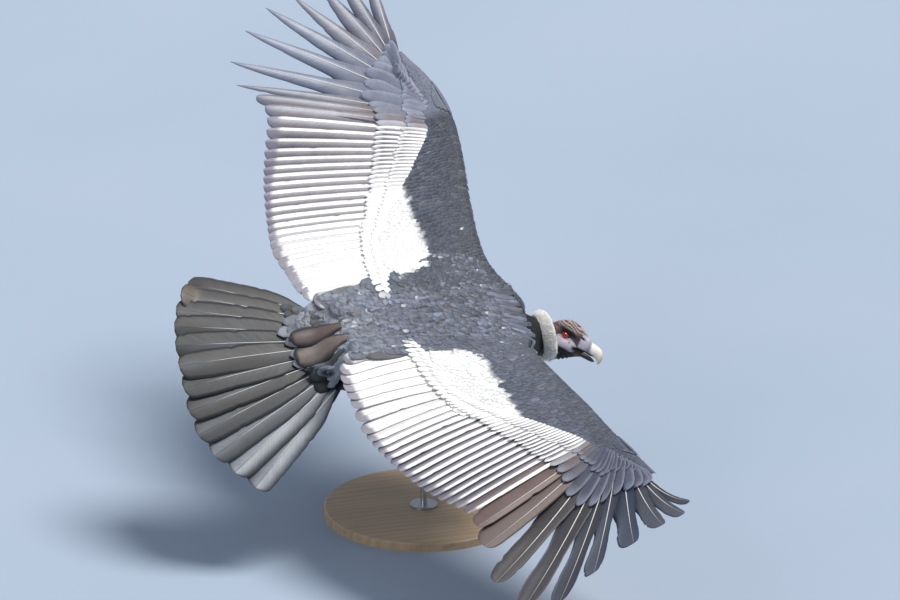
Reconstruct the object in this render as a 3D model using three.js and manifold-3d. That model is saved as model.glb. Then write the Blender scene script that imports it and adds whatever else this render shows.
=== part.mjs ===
// An andean condor in flight: an adult female, life size, banked to its right on a plain display stand.
// Sizes are in millimetres. In the bird's own frame +X is forward, +Y its left and +Z up, from mid torso.
import * as THREE from "three";
import { mergeVertices } from "three/addons/utils/BufferGeometryUtils.js";
import Module from "manifold-3d";

const wasm = await Module();
wasm.setup();

// The gap between two pieces that meet.
const GAP = 0.35;
const EDGE_THICKNESS = 0.8;

// How the bird hangs in the air: banked to its right, nose a little up, held above the base.
const BANK_DEGREES = 19.2;
const NOSE_UP_DEGREES = 6.5;
const HELD_POINT = [25, 0, -30];
const HELD_HEIGHT = 420;

const BASE_RADIUS = 240;
const BASE_THICKNESS = 22;
const BASE_CHAMFER = 3;
const ROD_RADIUS = 8;
const FLANGE_RADIUS = 34;
const FLANGE_THICKNESS = 6;

// Torso sections from tail to neck: x, height of the middle, half width, rise above it, drop below it.
const TORSO = [
  [-250, 48, 46, 14, 14],
  [-238, 48, 66, 32, 26],
  [-200, 42, 92, 54, 48],
  [-120, 20, 116, 80, 72],
  [-20, 2, 130, 93, 96],
  [90, -9, 134, 90, 114],
  [175, -19, 130, 88, 114],
  [240, -34, 116, 80, 96],
  [276, -48, 92, 70, 78],
  [298, -58, 66, 58, 62],
  [308, -63, 46, 44, 46],
];
const TORSO_SIDES = 22;
const TORSO_RINGS = 15;

// Neck sections: x, y, z of the middle, and the radius.
const NECK = [
  [296, 0, -60, 37],
  [320, 0, -66, 36],
  [338, 1, -70, 36],
  [352, 1, -74, 35],
];
const NECK_SIDES = 12;
const NECK_FOLD_DEPTH = 1.4;
const NECK_FOLD_SPACING = 10;

// The ruff stands round the neck in a ring square to the bird's own length.
const RUFF_CENTRE = [335, 0, -68];
const RUFF_CORE_RADIUS = 45;
const RUFF_CORE_DEPTH = 8;
const RUFF_CORE_LENGTH = 9;
const RUFF_LOCKS = 14;
// A lock from root to tip: distance from the neck's middle, half width, half thickness, share of its lean.
const RUFF_LOCK = [
  [44, 8, 2.4, 0],
  [55, 10.2, 2, 0.3],
  [66, 4, 0.6, 1],
];
// The two tiers of locks: where the roots stand along the neck, and how far the tips lean from there.
const RUFF_TIERS = [
  [3.2, 7],
  [-3.2, -7],
];

// The head's own frame has +X along the bill and its origin between the eyes.
const HEAD_PLACE = [381, -8, -73];
const HEAD_FORWARD = [0.744, -0.577, -0.336];
const HEAD_UP = [0.624, 0.42, 0.659];
// Head sections: x, crown height, throat height, height of the widest part, half width.
const HEAD = [
  [-42, 12, -60, -22, 31],
  [-25, 27, -66, -20, 35],
  [-8, 36, -65, -17, 35],
  [6, 39, -61, -14, 33],
  [28, 33, -47, -9, 28],
  [44, 26, -36, -7, 21],
  [54, 21, -31, -6, 16.5],
];
const HEAD_SIDES = 20;
const HEAD_RINGS = 11;
const EYE_RADIUS = 10;
const EYE_OUT = 23.5;
const LID_RADIUS = 9.4;
const LID_THICKNESS = 2.1;
const EAR_PLACE = [-25, 34.5, -12];
const EAR_RADIUS = 5.5;
const NOSTRIL_PLACE = [44, 21, 11];
// Bill sections: x and z of the middle, half height, half width, and how far the top leans forward.
const BILL_UPPER = [
  [54.35, 2.5, 18.5, 15.5, 0],
  [66, -1.5, 15, 13, 5],
  [78, -3, 15, 12.5, 12],
  [89, -5, 13, 11, 30],
  [97, -12, 10, 8, 58],
  [100.5, -21, 5.5, 4.5, 85],
  [100.5, -28, 1.5, 1.5, 100],
];
const BILL_LOWER = [
  [54.35, -24, 6.6, 13.5, 0],
  [66, -23.8, 6, 12, 0],
  [78, -24.6, 5.4, 10, 0],
  [86, -25.4, 3.6, 7.5, 0],
  [91, -25.8, 1.6, 3.5, 0],
];
const BILL_SIDES = 14;

// Flight feathers are numbered from the body out: 0 to 21 on the arm, 22 to 31 on the hand.
const FEATHERS = 32;
const WRIST = 21.5;
const FIRST_FINGER = 24;
// Rows are feather number, x, y and z of the left wing, and the right one is its mirror image.
const ARM_ROOTS = [
  [-3, -20, 30, 70],
  [0, -10, 130, 98],
  [5, 22, 270, 88],
  [10, 92, 375, 95],
  [16, 186, 490, 110],
  [21, 248, 574, 120],
];
// The leading edge: the shoulder comes out of the front of the torso, the left one further forward.
const LEFT_SHOULDER = [
  [-3, 292, 36, -34],
  [-1.5, 306, 70, -20],
  [0, 286, 102, 2],
  [2.5, 255, 150, 36],
];
const RIGHT_SHOULDER = [
  [-3, 270, 36, -34],
  [-1.5, 280, 70, -18],
  [0, 268, 102, 6],
  [2.5, 246, 150, 40],
];
const ARM_LEAD = [
  [5, 242, 200, 70],
  [10, 258, 325, 98],
  [16, 286, 460, 112],
  [21, 306, 575, 122],
];
// Thickness of the fleshy wing by feather number.
const WING_THICKNESS = [
  [-3, 70],
  [0, 58],
  [6, 46],
  [12, 37],
  [18, 31],
  [22, 27],
  [27, 19],
  [31, 11],
];
const ARM_TIPS = [
  [-3, -160, 40, 112],
  [0, -234, 147, 110],
  [4, -242, 249, 92],
  [6, -244, 337, 82],
  [10, -223, 445, 85],
  [14, -194, 554, 95],
  [18, -158, 654, 112],
  [21, -121, 742, 136],
  [22, -110, 790, 132],
  [23, -112, 847, 118],
];
// The two hands differ: the low right wing is spread and curled up, the high left one swept back.
const LEFT_HAND_ROOTS = [
  [22, 253, 598, 124],
  [26, 256, 668, 138],
  [31, 226, 762, 158],
];
const LEFT_HAND_LEAD = [
  [24, 306, 655, 134],
  [27.5, 290, 742, 150],
  [31, 256, 820, 168],
];
const LEFT_HAND_TIPS = [
  [24, -127, 955, 66],
  [25, -116, 1034, 72],
  [26, -52, 1113, 88],
  [27, 12, 1143, 118],
  [28, 83, 1148, 132],
  [29, 156, 1158, 140],
  [30, 208, 1150, 160],
  [31, 262, 1100, 186],
];
const RIGHT_HAND_ROOTS = [
  [22, 258, 598, 124],
  [26, 276, 662, 140],
  [31, 300, 752, 165],
];
const RIGHT_HAND_LEAD = [
  [24, 318, 645, 136],
  [27.5, 328, 728, 156],
  [31, 332, 800, 180],
];
const RIGHT_HAND_TIPS = [
  [24, -120, 952, 96],
  [25, -88, 1069, 112],
  [26, -18, 1119, 150],
  [27, 67, 1119, 218],
  [28, 167, 1117, 281],
  [29, 240, 1117, 319],
  [30, 290, 1124, 346],
  [31, 313, 1098, 356],
];

// A flight feather by its number: half width, then the shares of its leading and trailing webs.
const FEATHER_WIDTH = [
  [0, 27, 0.9, 1.1],
  [20, 26, 0.85, 1.15],
  [22, 32, 0.8, 1.2],
  [26, 41, 0.6, 1.3],
  [31, 37, 0.5, 1.3],
];
// Shaft thickness at the root, and roll in degrees.
const FEATHER_SHAFT = [
  [0, 2],
  [31, 2.2],
];
const FEATHER_ROLL = [
  [0, 8],
  [21, 8],
  [26, 10],
  [31, 10],
];
// The separate fingers of the hand twist their leading edges down, from how far along to how far along.
const TWIST_SPAN = [0.5, 0.85];
// How far along a long covert reaches over the feather under it.
const COVERT_REACH = [
  [0, 0.24],
  [6, 0.24],
  [12, 0.28],
  [21, 0.36],
  [22, 0.34],
  [31, 0.3],
];

const TAIL_ROOT = [-250, 0, 50];
const TAIL_FEATHERS = 12;
const TAIL_LENGTH = 334;
const TAIL_ROOT_SPREAD = 104;
const TAIL_HALF_FAN_DEGREES = 31;
// The spread tail is tilted against the body, left side up, and its outer feathers sag.
const TAIL_TILT = 0.354;
const TAIL_RISE = 36;
const TAIL_SAG = 52;
const TAIL_TURN = 30;
const TAIL_SIZE = { halfWidth: 38, webs: [0.9, 1.1], shaft: 2.2, roll: 8 };
const TAIL_COVERT = {
  halfWidth: 28,
  webs: [1, 1],
  shaft: 1.8,
  roll: 7,
  reach: [-0.08, 0.18],
  lift: [5, 11],
};
const TAIL_COVERT_PLACES = [-3.6, -1.8, -0.2, 1.8, 3.6];
// The stump that the tail feathers are rooted in: x, half width and half height.
const TAIL_STUMP = [
  [-196, 74, 12],
  [-222, 98, 15],
  [-250, 112, 14],
  [-272, 114, 10],
  [-286, 112, 6],
];
const TAIL_STUMP_SIDES = 14;

// The left leg and its toes, trailed under the tail: x, y, z of the middle and the radius.
const LEG = [
  [-60, 62, -58, 24],
  [-120, 62, -52, 19],
  [-165, 58, -40, 12],
  [-205, 54, -26, 9],
  [-246, 52, -14, 8.5],
];
const LEG_SIDES = 10;
const MIDDLE_TOE = [
  [-240, 52, -14, 9],
  [-262, 56, -14, 7.5],
  [-300, 62, -20, 6],
  [-340, 64, -26, 5],
  [-362, 64, -36, 1.2],
];
const INNER_TOE = [
  [-240, 50, -14, 9],
  [-260, 44, -14, 7],
  [-290, 36, -20, 5.5],
  [-314, 32, -26, 4.5],
  [-332, 30, -34, 1.2],
];
const OUTER_TOE = [
  [-240, 54, -14, 9],
  [-258, 66, -14, 7],
  [-284, 78, -18, 5.5],
  [-304, 84, -24, 4.5],
  [-322, 86, -32, 1.2],
];
const HIND_TOE = [
  [-240, 50, -16, 9],
  [-244, 46, -26, 6],
  [-256, 42, -38, 4.5],
  [-272, 40, -42, 1.2],
];
const TOE_SIDES = 6;

// Along a vane: how far from its root, and how much of its full width it has there.
// The left hand's fingers are seen pointed and slim, the right hand's broad and round.
const LEFT_FINGER = [
  [0, 0.16],
  [0.28, 0.95],
  [0.48, 0.86],
  [0.64, 0.56],
  [1, 0.08],
];
const RIGHT_FINGER = [
  [0, 0.16],
  [0.28, 0.95],
  [0.6, 0.97],
  [0.92, 0.76],
  [1, 0.24],
];
const TAIL_VANE = [
  [0, 0.16],
  [0.28, 0.9],
  [0.7, 1],
  [0.95, 0.9],
  [1, 0.5],
];
const LEFT_FLEX = { sag: -6, twist: -34, breadth: 1, finger: LEFT_FINGER };
const RIGHT_FLEX = { sag: 24, twist: -14, breadth: 1.16, finger: RIGHT_FINGER };
const SHORT_VANE = [
  [0, 0.45],
  [0.7, 1],
  [1, 0.4],
];
const ARM_VANE = [
  [0, 0.3],
  [0.35, 1],
  [0.88, 0.85],
  [1, 0.3],
];
const COVERT_HALF_WIDTH = 28;
const COVERT_START = -0.09;
const COVERT_LIFT = [5.5, 10];
const ARM_COVERT_STEP = 2.4;
const HAND_COVERT_STEP = 2;
// Feathers over the shoulder, inside the ones counted from the elbow.
const INNERMOST = -2;

const plumage = { black: 0x24262b, slate: 0x3a3f48, white: 0xe9e6dc };
const paint = (color, roughness, metalness = 0) =>
  new THREE.MeshStandardMaterial({ color, roughness, metalness, flatShading: true });
const materials = {
  body: paint(plumage.slate, 0.7),
  wing: paint(plumage.black, 0.65),
  down: paint(plumage.white, 0.9),
  skin: paint(0x8a6f68, 0.75),
  bill: paint(0xe6dcc2, 0.35),
  eye: paint(0x7c1410, 0.12),
  foot: paint(0x8d8a84, 0.7),
  base: paint(0x9a948a, 0.6),
  rod: paint(0x777a7d, 0.35, 0.9),
};

const vec = (values) => new THREE.Vector3(values[0], values[1], values[2]);
const radians = THREE.MathUtils.degToRad;
const bell = (distance, width) => Math.exp(-((distance / width) ** 2));
const power = (value, exponent) => Math.sign(value) * Math.abs(value) ** exponent;

// A smooth curve through rows of [t, values...], straight on past its ends.
function through(rows) {
  const slope = (k) => {
    const before = rows[Math.max(k - 1, 0)];
    const after = rows[Math.min(k + 1, rows.length - 1)];
    return after.slice(1).map((value, axis) => (value - before[axis + 1]) / (after[0] - before[0]));
  };
  return (t) => {
    const last = rows.length - 1;
    const straight = (k) => rows[k].slice(1).map((value, axis) => value + slope(k)[axis] * (t - rows[k][0]));
    if (t <= rows[0][0]) return straight(0);
    if (t >= rows[last][0]) return straight(last);
    const k = rows.findIndex((row) => row[0] > t) - 1;
    const span = rows[k + 1][0] - rows[k][0];
    const s = (t - rows[k][0]) / span;
    const [from, to] = [slope(k), slope(k + 1)];
    return from.map((start, axis) => {
      const [a, b] = [rows[k][axis + 1], rows[k + 1][axis + 1]];
      return (
        a * (2 * s ** 3 - 3 * s ** 2 + 1) +
        start * span * (s ** 3 - 2 * s ** 2 + s) +
        b * (3 * s ** 2 - 2 * s ** 3) +
        to[axis] * span * (s ** 3 - s ** 2)
      );
    });
  };
}

// A closed solid from points and triangles, turned so that its faces point out.
function closed(points, triangles) {
  const volume = triangles.reduce((sum, [a, b, c]) => {
    return sum + points[a].dot(new THREE.Vector3().crossVectors(points[b], points[c]));
  }, 0);
  const outward = volume < 0 ? triangles.map(([a, b, c]) => [a, c, b]) : triangles;
  const mesh = new wasm.Mesh({
    numProp: 3,
    vertProperties: new Float32Array(points.flatMap((p) => [p.x, p.y, p.z])),
    triVerts: new Uint32Array(outward.flat()),
  });
  return new wasm.Manifold(mesh);
}

// A skin over rings of points, closed by a fan at each end.
function loft(rings) {
  const count = rings[0].length;
  const middle = (ring) => ring.reduce((sum, p) => sum.add(p), new THREE.Vector3()).divideScalar(count);
  const points = [...rings.flat(), middle(rings[0]), middle(rings[rings.length - 1])];
  const [startCap, endCap] = [points.length - 2, points.length - 1];
  const triangles = [];
  for (let j = 0; j < count; j++) {
    const next = (j + 1) % count;
    for (let k = 0; k < rings.length - 1; k++) {
      const [a, b] = [k * count + j, k * count + next];
      triangles.push([a, b, b + count], [a, b + count, a + count]);
    }
    const end = (rings.length - 1) * count;
    triangles.push([startCap, next, j], [endCap, end + j, end + next]);
  }
  return closed(points, triangles);
}

// A thin plate between two like grids of points, split into triangles alike on both faces.
function plate(top, bottom) {
  const [rows, columns] = [top.length, top[0].length];
  const under = rows * columns;
  const at = (r, c) => r * columns + c;
  const triangles = [];
  for (let r = 0; r < rows - 1; r++)
    for (let c = 0; c < columns - 1; c++) {
      const [a, b, d, e] = [at(r, c), at(r, c + 1), at(r + 1, c + 1), at(r + 1, c)];
      triangles.push([a, b, d], [a, d, e]);
      triangles.push([under + a, under + d, under + b], [under + a, under + e, under + d]);
    }
  const rim = [];
  for (let c = 0; c < columns; c++) rim.push(at(0, c));
  for (let r = 1; r < rows; r++) rim.push(at(r, columns - 1));
  for (let c = columns - 2; c >= 0; c--) rim.push(at(rows - 1, c));
  for (let r = rows - 2; r > 0; r--) rim.push(at(r, 0));
  rim.forEach((p, k) => {
    const q = rim[(k + 1) % rim.length];
    triangles.push([q, p, under + p], [q, under + p, under + q]);
  });
  return closed([...top.flat(), ...bottom.flat()], triangles);
}

// The solid of one of three's own closed geometries.
function solidOf(geometry) {
  const bare = geometry.clone();
  bare.deleteAttribute("normal");
  bare.deleteAttribute("uv");
  const merged = mergeVertices(bare, 1e-4);
  const points = [];
  const place = merged.getAttribute("position");
  for (let k = 0; k < place.count; k++) points.push(new THREE.Vector3().fromBufferAttribute(place, k));
  const triangles = [];
  for (let k = 0; k < merged.index.count; k += 3) {
    const corners = [0, 1, 2].map((n) => merged.index.getX(k + n));
    if (new Set(corners).size === 3) triangles.push(corners);
  }
  return closed(points, triangles);
}

const unite = (solids) => solids.reduce((whole, solid) => whole.add(solid));
const pieces = (solid) => solid.decompose().sort((a, b) => b.volume() - a.volume());
const largest = (solid) => pieces(solid)[0];

function named(name, solid, material) {
  const shape = solid.getMesh();
  const geometry = new THREE.BufferGeometry();
  const stride = shape.numProp;
  const place = new Float32Array(shape.numVert * 3);
  for (let k = 0; k < shape.numVert; k++)
    place.set(shape.vertProperties.subarray(k * stride, k * stride + 3), k * 3);
  geometry.setAttribute("position", new THREE.BufferAttribute(place, 3));
  geometry.setIndex(new THREE.BufferAttribute(new Uint32Array(shape.triVerts), 1));
  geometry.computeVertexNormals();
  const mesh = new THREE.Mesh(geometry, material);
  mesh.name = name;
  return mesh;
}

// Torso

function torso(grow = 0) {
  const section = through(TORSO);
  const [start, end] = [TORSO[0][0], TORSO[TORSO.length - 1][0]];
  const rings = [];
  for (let k = 0; k <= TORSO_RINGS; k++) {
    const share = 0.5 - 0.5 * Math.cos((Math.PI * k) / TORSO_RINGS);
    const x = THREE.MathUtils.lerp(start, end, 0.5 * share + (0.5 * k) / TORSO_RINGS);
    const [middle, halfWidth, rise, drop] = section(x);
    const ring = [];
    for (let n = 0; n < TORSO_SIDES; n++) {
      const angle = (2 * Math.PI * n) / TORSO_SIDES;
      const height = Math.cos(angle) > 0 ? rise : drop;
      const endGrow = k === 0 ? -grow : k === TORSO_RINGS ? grow : 0;
      ring.push(
        vec([
          x + endGrow,
          (halfWidth + grow) * Math.sin(angle),
          middle + (height + grow) * Math.cos(angle),
        ]),
      );
    }
    rings.push(ring);
  }
  return loft(rings);
}

// Neck and head

function neck(grow = 0) {
  const section = through(NECK);
  const [start, end] = [NECK[0][0], NECK[NECK.length - 1][0]];
  const rings = [];
  for (let x = start; x <= end; x += NECK_FOLD_SPACING / 2) {
    const [y, z, radius] = section(x);
    const fold = NECK_FOLD_DEPTH * Math.cos((2 * Math.PI * (x - start)) / NECK_FOLD_SPACING);
    const ring = [];
    for (let n = 0; n < NECK_SIDES; n++) {
      const angle = (2 * Math.PI * n) / NECK_SIDES;
      const out = radius + fold + grow;
      ring.push(vec([x, y + out * Math.sin(angle), z + out * Math.cos(angle)]));
    }
    rings.push(ring);
  }
  return loft(rings);
}

const headForward = vec(HEAD_FORWARD).normalize();
const headUp = vec(HEAD_UP).addScaledVector(headForward, -vec(HEAD_UP).dot(headForward)).normalize();
const headLeft = new THREE.Vector3().crossVectors(headUp, headForward);
const headMatrix = new THREE.Matrix4()
  .makeBasis(headForward, headLeft, headUp)
  .setPosition(vec(HEAD_PLACE));

// How far the skin stands out from the plain head: brow, eye socket, cheek, crown folds and throat.
function headRelief(x, side, z) {
  const brow = 3.6 * bell(x - 6, 17) * bell(z - 15, 6);
  const socket = -4 * bell(x, 13) * bell(z - 1, 8);
  const cheek = 2.6 * bell(x - 8, 16) * bell(z + 24, 12);
  const crown = 1.5 * Math.sin(z * 0.62 + x * 0.12) * bell(x - 4, 26) * bell(z - 28, 10);
  const throat = 1.4 * Math.sin(x * 0.45) * bell(z + 52, 14);
  return (brow + socket + cheek) * side + crown + throat;
}

function skull(grow = 0) {
  const section = through(HEAD);
  const [start, end] = [HEAD[0][0], HEAD[HEAD.length - 1][0]];
  const rings = [];
  for (let k = 0; k <= HEAD_RINGS; k++) {
    const x = THREE.MathUtils.lerp(start, end, k / HEAD_RINGS);
    const [top, bottom, middle, halfWidth] = section(x);
    const ring = [];
    for (let n = 0; n < HEAD_SIDES; n++) {
      const angle = (2 * Math.PI * n) / HEAD_SIDES;
      const [across, upward] = [power(Math.sin(angle), 0.9), power(Math.cos(angle), 0.9)];
      const z = middle + upward * (upward > 0 ? top - middle : middle - bottom);
      const relief = grow + headRelief(x, Math.abs(across), z);
      const endGrow = k === 0 ? -grow : k === HEAD_RINGS ? grow : 0;
      ring.push(vec([x + endGrow, across * (halfWidth + relief), z + upward * relief]));
    }
    rings.push(ring.map((p) => p.applyMatrix4(headMatrix)));
  }
  return loft(rings);
}

const inHead = (geometry) => solidOf(geometry.applyMatrix4(headMatrix));
const eyeball = (side, grow = 0) =>
  inHead(new THREE.SphereGeometry(EYE_RADIUS + grow, 12, 7).translate(0, side * EYE_OUT, 0));

function head() {
  const raised = [];
  const hollows = [];
  for (const side of [1, -1]) {
    const lid = new THREE.TorusGeometry(LID_RADIUS, LID_THICKNESS, 4, 12);
    raised.push(inHead(lid.rotateX(Math.PI / 2).scale(1.08, 1, 0.86).translate(0, side * 29.5, 0)));
    const rim = new THREE.TorusGeometry(EAR_RADIUS, 1.5, 4, 8).rotateX(Math.PI / 2);
    raised.push(inHead(rim.translate(EAR_PLACE[0], side * EAR_PLACE[1], EAR_PLACE[2])));
    const cup = new THREE.SphereGeometry(EAR_RADIUS - 1, 8, 5);
    hollows.push(inHead(cup.translate(EAR_PLACE[0], side * EAR_PLACE[1], EAR_PLACE[2])));
    const nostril = new THREE.SphereGeometry(1, 8, 5).scale(6.5, 5, 2.4).rotateY(0.3);
    hollows.push(inHead(nostril.translate(NOSTRIL_PLACE[0], side * NOSTRIL_PLACE[1], NOSTRIL_PLACE[2])));
    const corner = new THREE.BoxGeometry(30, 8, 1.6).rotateY(-0.15);
    hollows.push(inHead(corner.translate(42, side * 24, -18)));
    hollows.push(eyeball(side, GAP));
  }
  hollows.push(torso(GAP));
  const rims = unite(raised).subtract(neck(GAP));
  return largest(skull().add(rims).subtract(unite(hollows)));
}

function bill(sections) {
  const rings = sections.map(([x, z, halfHeight, halfWidth, leanDegrees]) => {
    const lean = radians(leanDegrees);
    const ring = [];
    for (let n = 0; n < BILL_SIDES; n++) {
      const angle = (2 * Math.PI * n) / BILL_SIDES;
      const height = halfHeight * power(Math.cos(angle), 0.85);
      const across = halfWidth * power(Math.sin(angle), 0.85);
      const point = vec([x + height * Math.sin(lean), across, z + height * Math.cos(lean)]);
      ring.push(point.applyMatrix4(headMatrix));
    }
    return ring;
  });
  return loft(rings);
}

// A ring of points in a plane square to the bird's length, round the ruff's centre.
function ruffPoint(angle, radius, forward) {
  const [x, y, z] = RUFF_CENTRE;
  return vec([x + forward, y + radius * Math.sin(angle), z + radius * Math.cos(angle)]);
}

function ruffCore() {
  const [around, section] = [RUFF_LOCKS * 2, 5];
  const points = [];
  const triangles = [];
  for (let a = 0; a < around; a++)
    for (let s = 0; s < section; s++) {
      const turn = (2 * Math.PI * s) / section;
      const radius = RUFF_CORE_RADIUS + RUFF_CORE_DEPTH * Math.cos(turn);
      points.push(ruffPoint((2 * Math.PI * a) / around, radius, RUFF_CORE_LENGTH * Math.sin(turn)));
      const [nextAround, nextSection] = [(a + 1) % around, (s + 1) % section];
      const [p, q] = [a * section + s, a * section + nextSection];
      const [t, u] = [nextAround * section + nextSection, nextAround * section + s];
      triangles.push([p, q, t], [p, t, u]);
    }
  return closed(points, triangles);
}

function ruffLock(angle, [stand, lean]) {
  const face = (offset) =>
    RUFF_LOCK.map(([radius, halfWidth, halfThickness, bend]) =>
      [-1, 1].map((side) => {
        const turn = angle + (side * halfWidth) / radius;
        return ruffPoint(turn, radius, stand + lean * bend + offset * halfThickness);
      }),
    );
  return plate(face(1), face(-1));
}

function ruff() {
  const solids = [ruffCore()];
  RUFF_TIERS.forEach((tier, row) => {
    for (let k = 0; k < RUFF_LOCKS; k++)
      solids.push(ruffLock((2 * Math.PI * (k + row / 2)) / RUFF_LOCKS, tier));
  });
  return largest(unite(solids).subtract(unite([torso(GAP), neck(GAP), skull(GAP)])));
}

// Feathers

// Where a feather lies at u along it: the point, the way to its leading edge, and up out of its face.
function lie(sheet, index, u, rollDegrees, outward) {
  const point = sheet(index, u);
  const along = sheet(index, u + 0.02).sub(sheet(index, u - 0.02)).normalize();
  const beyondRoot = Math.max(u, 0.3);
  const flat = sheet(index + 0.2, beyondRoot).sub(sheet(index - 0.2, beyondRoot)).multiplyScalar(outward);
  flat.addScaledVector(along, -flat.dot(along)).normalize();
  const square = new THREE.Vector3().crossVectors(flat, along);
  if (square.z < 0) square.negate();
  const [c, s] = [Math.cos(radians(rollDegrees)), Math.sin(radians(rollDegrees))];
  const across = flat.clone().multiplyScalar(c).addScaledVector(square, s);
  const up = square.clone().multiplyScalar(c).addScaledVector(flat, -s);
  return { point, across, up };
}

// A thin vane in a sheet, its leading edge tipped up so that the next one out slides under it.
// The size gives its half width, webs [leading, trailing], shaft thickness, roll, twist towards its tip,
// reach along the sheet and lift off it.
function feather(sheet, index, size, profile) {
  const { halfWidth, webs, shaft, roll, twist = 0, reach = [0, 1], lift = [0, 0], outward = 1 } = size;
  const faces = [1, -1].map((face) =>
    profile.map(([share, width]) => {
      const u = THREE.MathUtils.lerp(reach[0], reach[1], share);
      const turned = roll + twist * THREE.MathUtils.smoothstep(share, ...TWIST_SPAN);
      const { point, across, up } = lie(sheet, index, u, turned, outward);
      point.addScaledVector(up, THREE.MathUtils.lerp(lift[0], lift[1], share));
      const ridge = THREE.MathUtils.lerp(shaft, EDGE_THICKNESS * 1.3, share);
      return [
        [webs[0], EDGE_THICKNESS],
        [0, ridge],
        [-webs[1], EDGE_THICKNESS],
      ].map(([web, thickness]) =>
        point
          .clone()
          .addScaledVector(across, web * width * halfWidth)
          .addScaledVector(up, (face * thickness) / 2),
      );
    }),
  );
  return plate(faces[0], faces[1]);
}

// Wings

// One wing's own lines: its side, the roots and tips of its feathers, its leading edge, how far the long
// outer feathers sag below a straight line, how far they twist, and the breadth and shape of their vanes.
function wingLines(sign, shoulder, roots, lead, tips, { sag, twist, breadth, finger }) {
  return {
    sign,
    breadth,
    finger,
    twist: through([
      [0, 0],
      [23, 0],
      [26, twist],
      [31, twist],
    ]),
    root: through([...ARM_ROOTS, ...roots]),
    lead: through([...shoulder, ...ARM_LEAD, ...lead]),
    tip: through([...ARM_TIPS, ...tips]),
    bow: through([
      [0, 7],
      [20, 5],
      [25, -sag],
      [31, -sag],
    ]),
  };
}

// The sheet that the flight feathers lie in: feather number, then 0 at the root to 1 at the tip.
function wingSheet({ sign, root, tip, bow }) {
  return (index, u) => {
    const point = vec(root(index)).lerp(vec(tip(index)), u);
    point.z += 4 * u * (1 - u) * bow(index)[0];
    point.y *= sign;
    return point;
  };
}

// The fleshy wing: sections from inside the torso out to the end of the hand.
function wingFlesh({ sign, lead }, sheet) {
  const thickness = through(WING_THICKNESS);
  const profile = [
    [0, 0],
    [0.04, 0.3],
    [0.22, 0.5],
    [0.6, 0.4],
    [1, 0.14],
    [1, -0.1],
    [0.6, -0.14],
    [0.2, -0.3],
    [0.04, -0.24],
  ];
  const rings = [];
  for (const index of [-3, -1.5, 0, 2.5, 5, 8, 11, 14, 17, 20, 22.5, 25, 27.5, 30, 31.4]) {
    const front = vec(lead(index));
    front.y *= sign;
    const rear = sheet(index, 0.06);
    const deep = thickness(index)[0];
    rings.push(
      profile.map(([along, height]) => front.clone().lerp(rear, along).add(vec([0, 0, height * deep]))),
    );
  }
  return loft(rings);
}

// A thin wall that follows the lie of the feathers at the wrist.
function wristWall(sheet) {
  const faces = [-GAP / 2, GAP / 2].map((offset) =>
    [-0.4, -0.1, 0.2, 0.5, 0.8, 1.2].map((u) => {
      const point = sheet(WRIST, u);
      const across = sheet(WRIST + 0.3, u).sub(point).setZ(0).normalize();
      point.addScaledVector(across, offset);
      return [-90, 90].map((height) => point.clone().add(vec([0, 0, height])));
    }),
  );
  return plate(faces[0], faces[1]);
}

function flightFeather(sheet, index, { twist, breadth, finger }) {
  const [halfWidth, leading, trailing] = through(FEATHER_WIDTH)(index);
  const separate = index >= FIRST_FINGER;
  const size = {
    halfWidth: separate ? halfWidth * breadth : halfWidth,
    webs: [leading, trailing],
    shaft: through(FEATHER_SHAFT)(index)[0],
    roll: through(FEATHER_ROLL)(index)[0],
    twist: twist(index)[0],
  };
  return feather(sheet, index, size, separate ? finger : ARM_VANE);
}

function covert(sheet, index) {
  const size = {
    halfWidth: COVERT_HALF_WIDTH,
    webs: [1, 1],
    shaft: 1.8,
    roll: through(FEATHER_ROLL)(index)[0],
    reach: [COVERT_START, through(COVERT_REACH)(index)[0]],
    lift: COVERT_LIFT,
  };
  return feather(sheet, index, size, SHORT_VANE);
}

// The small feathers of the thumb, flat along the leading edge of the hand.
function alula({ sign, lead }) {
  const thumb = (index, u) => {
    const root = vec(lead(22.2 + 0.4 * index)).add(vec([-14 - 8 * index, 0, 6 + 2 * index]));
    const tip = vec(lead(26 - 0.7 * index)).add(vec([-4 - 14 * index, 0, 16 + 3 * index]));
    const point = root.lerp(tip, u);
    point.y *= sign;
    return point;
  };
  const size = { halfWidth: 13, webs: [1, 1], shaft: 2, roll: 5, outward: -1 };
  return [0, 1].map((index) => feather(thumb, index, size, SHORT_VANE));
}

function wing(lines) {
  const sheet = wingSheet(lines);
  const solids = [wingFlesh(lines, sheet), ...alula(lines)];
  for (let index = INNERMOST; index < FEATHERS; index++)
    solids.push(flightFeather(sheet, index, lines));
  for (let index = 0; index <= WRIST; index += ARM_COVERT_STEP) solids.push(covert(sheet, index));
  for (let index = 22.3; index < FEATHERS; index += HAND_COVERT_STEP) solids.push(covert(sheet, index));
  const whole = unite(solids).subtract(unite([torso(GAP), wristWall(sheet)]));
  const [arm, hand] = pieces(whole);
  return { arm, hand };
}

// Tail

// The sheet of the tail feathers, numbered from the middle: negative to the right, positive to the left.
function tailSheet(index, u) {
  const share = (2 * index) / (TAIL_FEATHERS - 1);
  const angle = radians(TAIL_HALF_FAN_DEGREES) * share;
  const length = TAIL_LENGTH * (1 - 0.12 * share ** 2 + 0.085 * bell(share + 0.5, 0.35));
  const x = 16 * share ** 2 - u * length * Math.cos(angle);
  const y = TAIL_ROOT_SPREAD * share + u * length * Math.sin(angle);
  const sag = TAIL_SAG * share ** 2 + TAIL_TURN * THREE.MathUtils.clamp(0.55 - share, 0, 1.2);
  const z = TAIL_RISE * u * (1.35 - 0.35 * u) + TAIL_TILT * y - sag * u;
  return vec(TAIL_ROOT).add(vec([x, y, z]));
}

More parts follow.
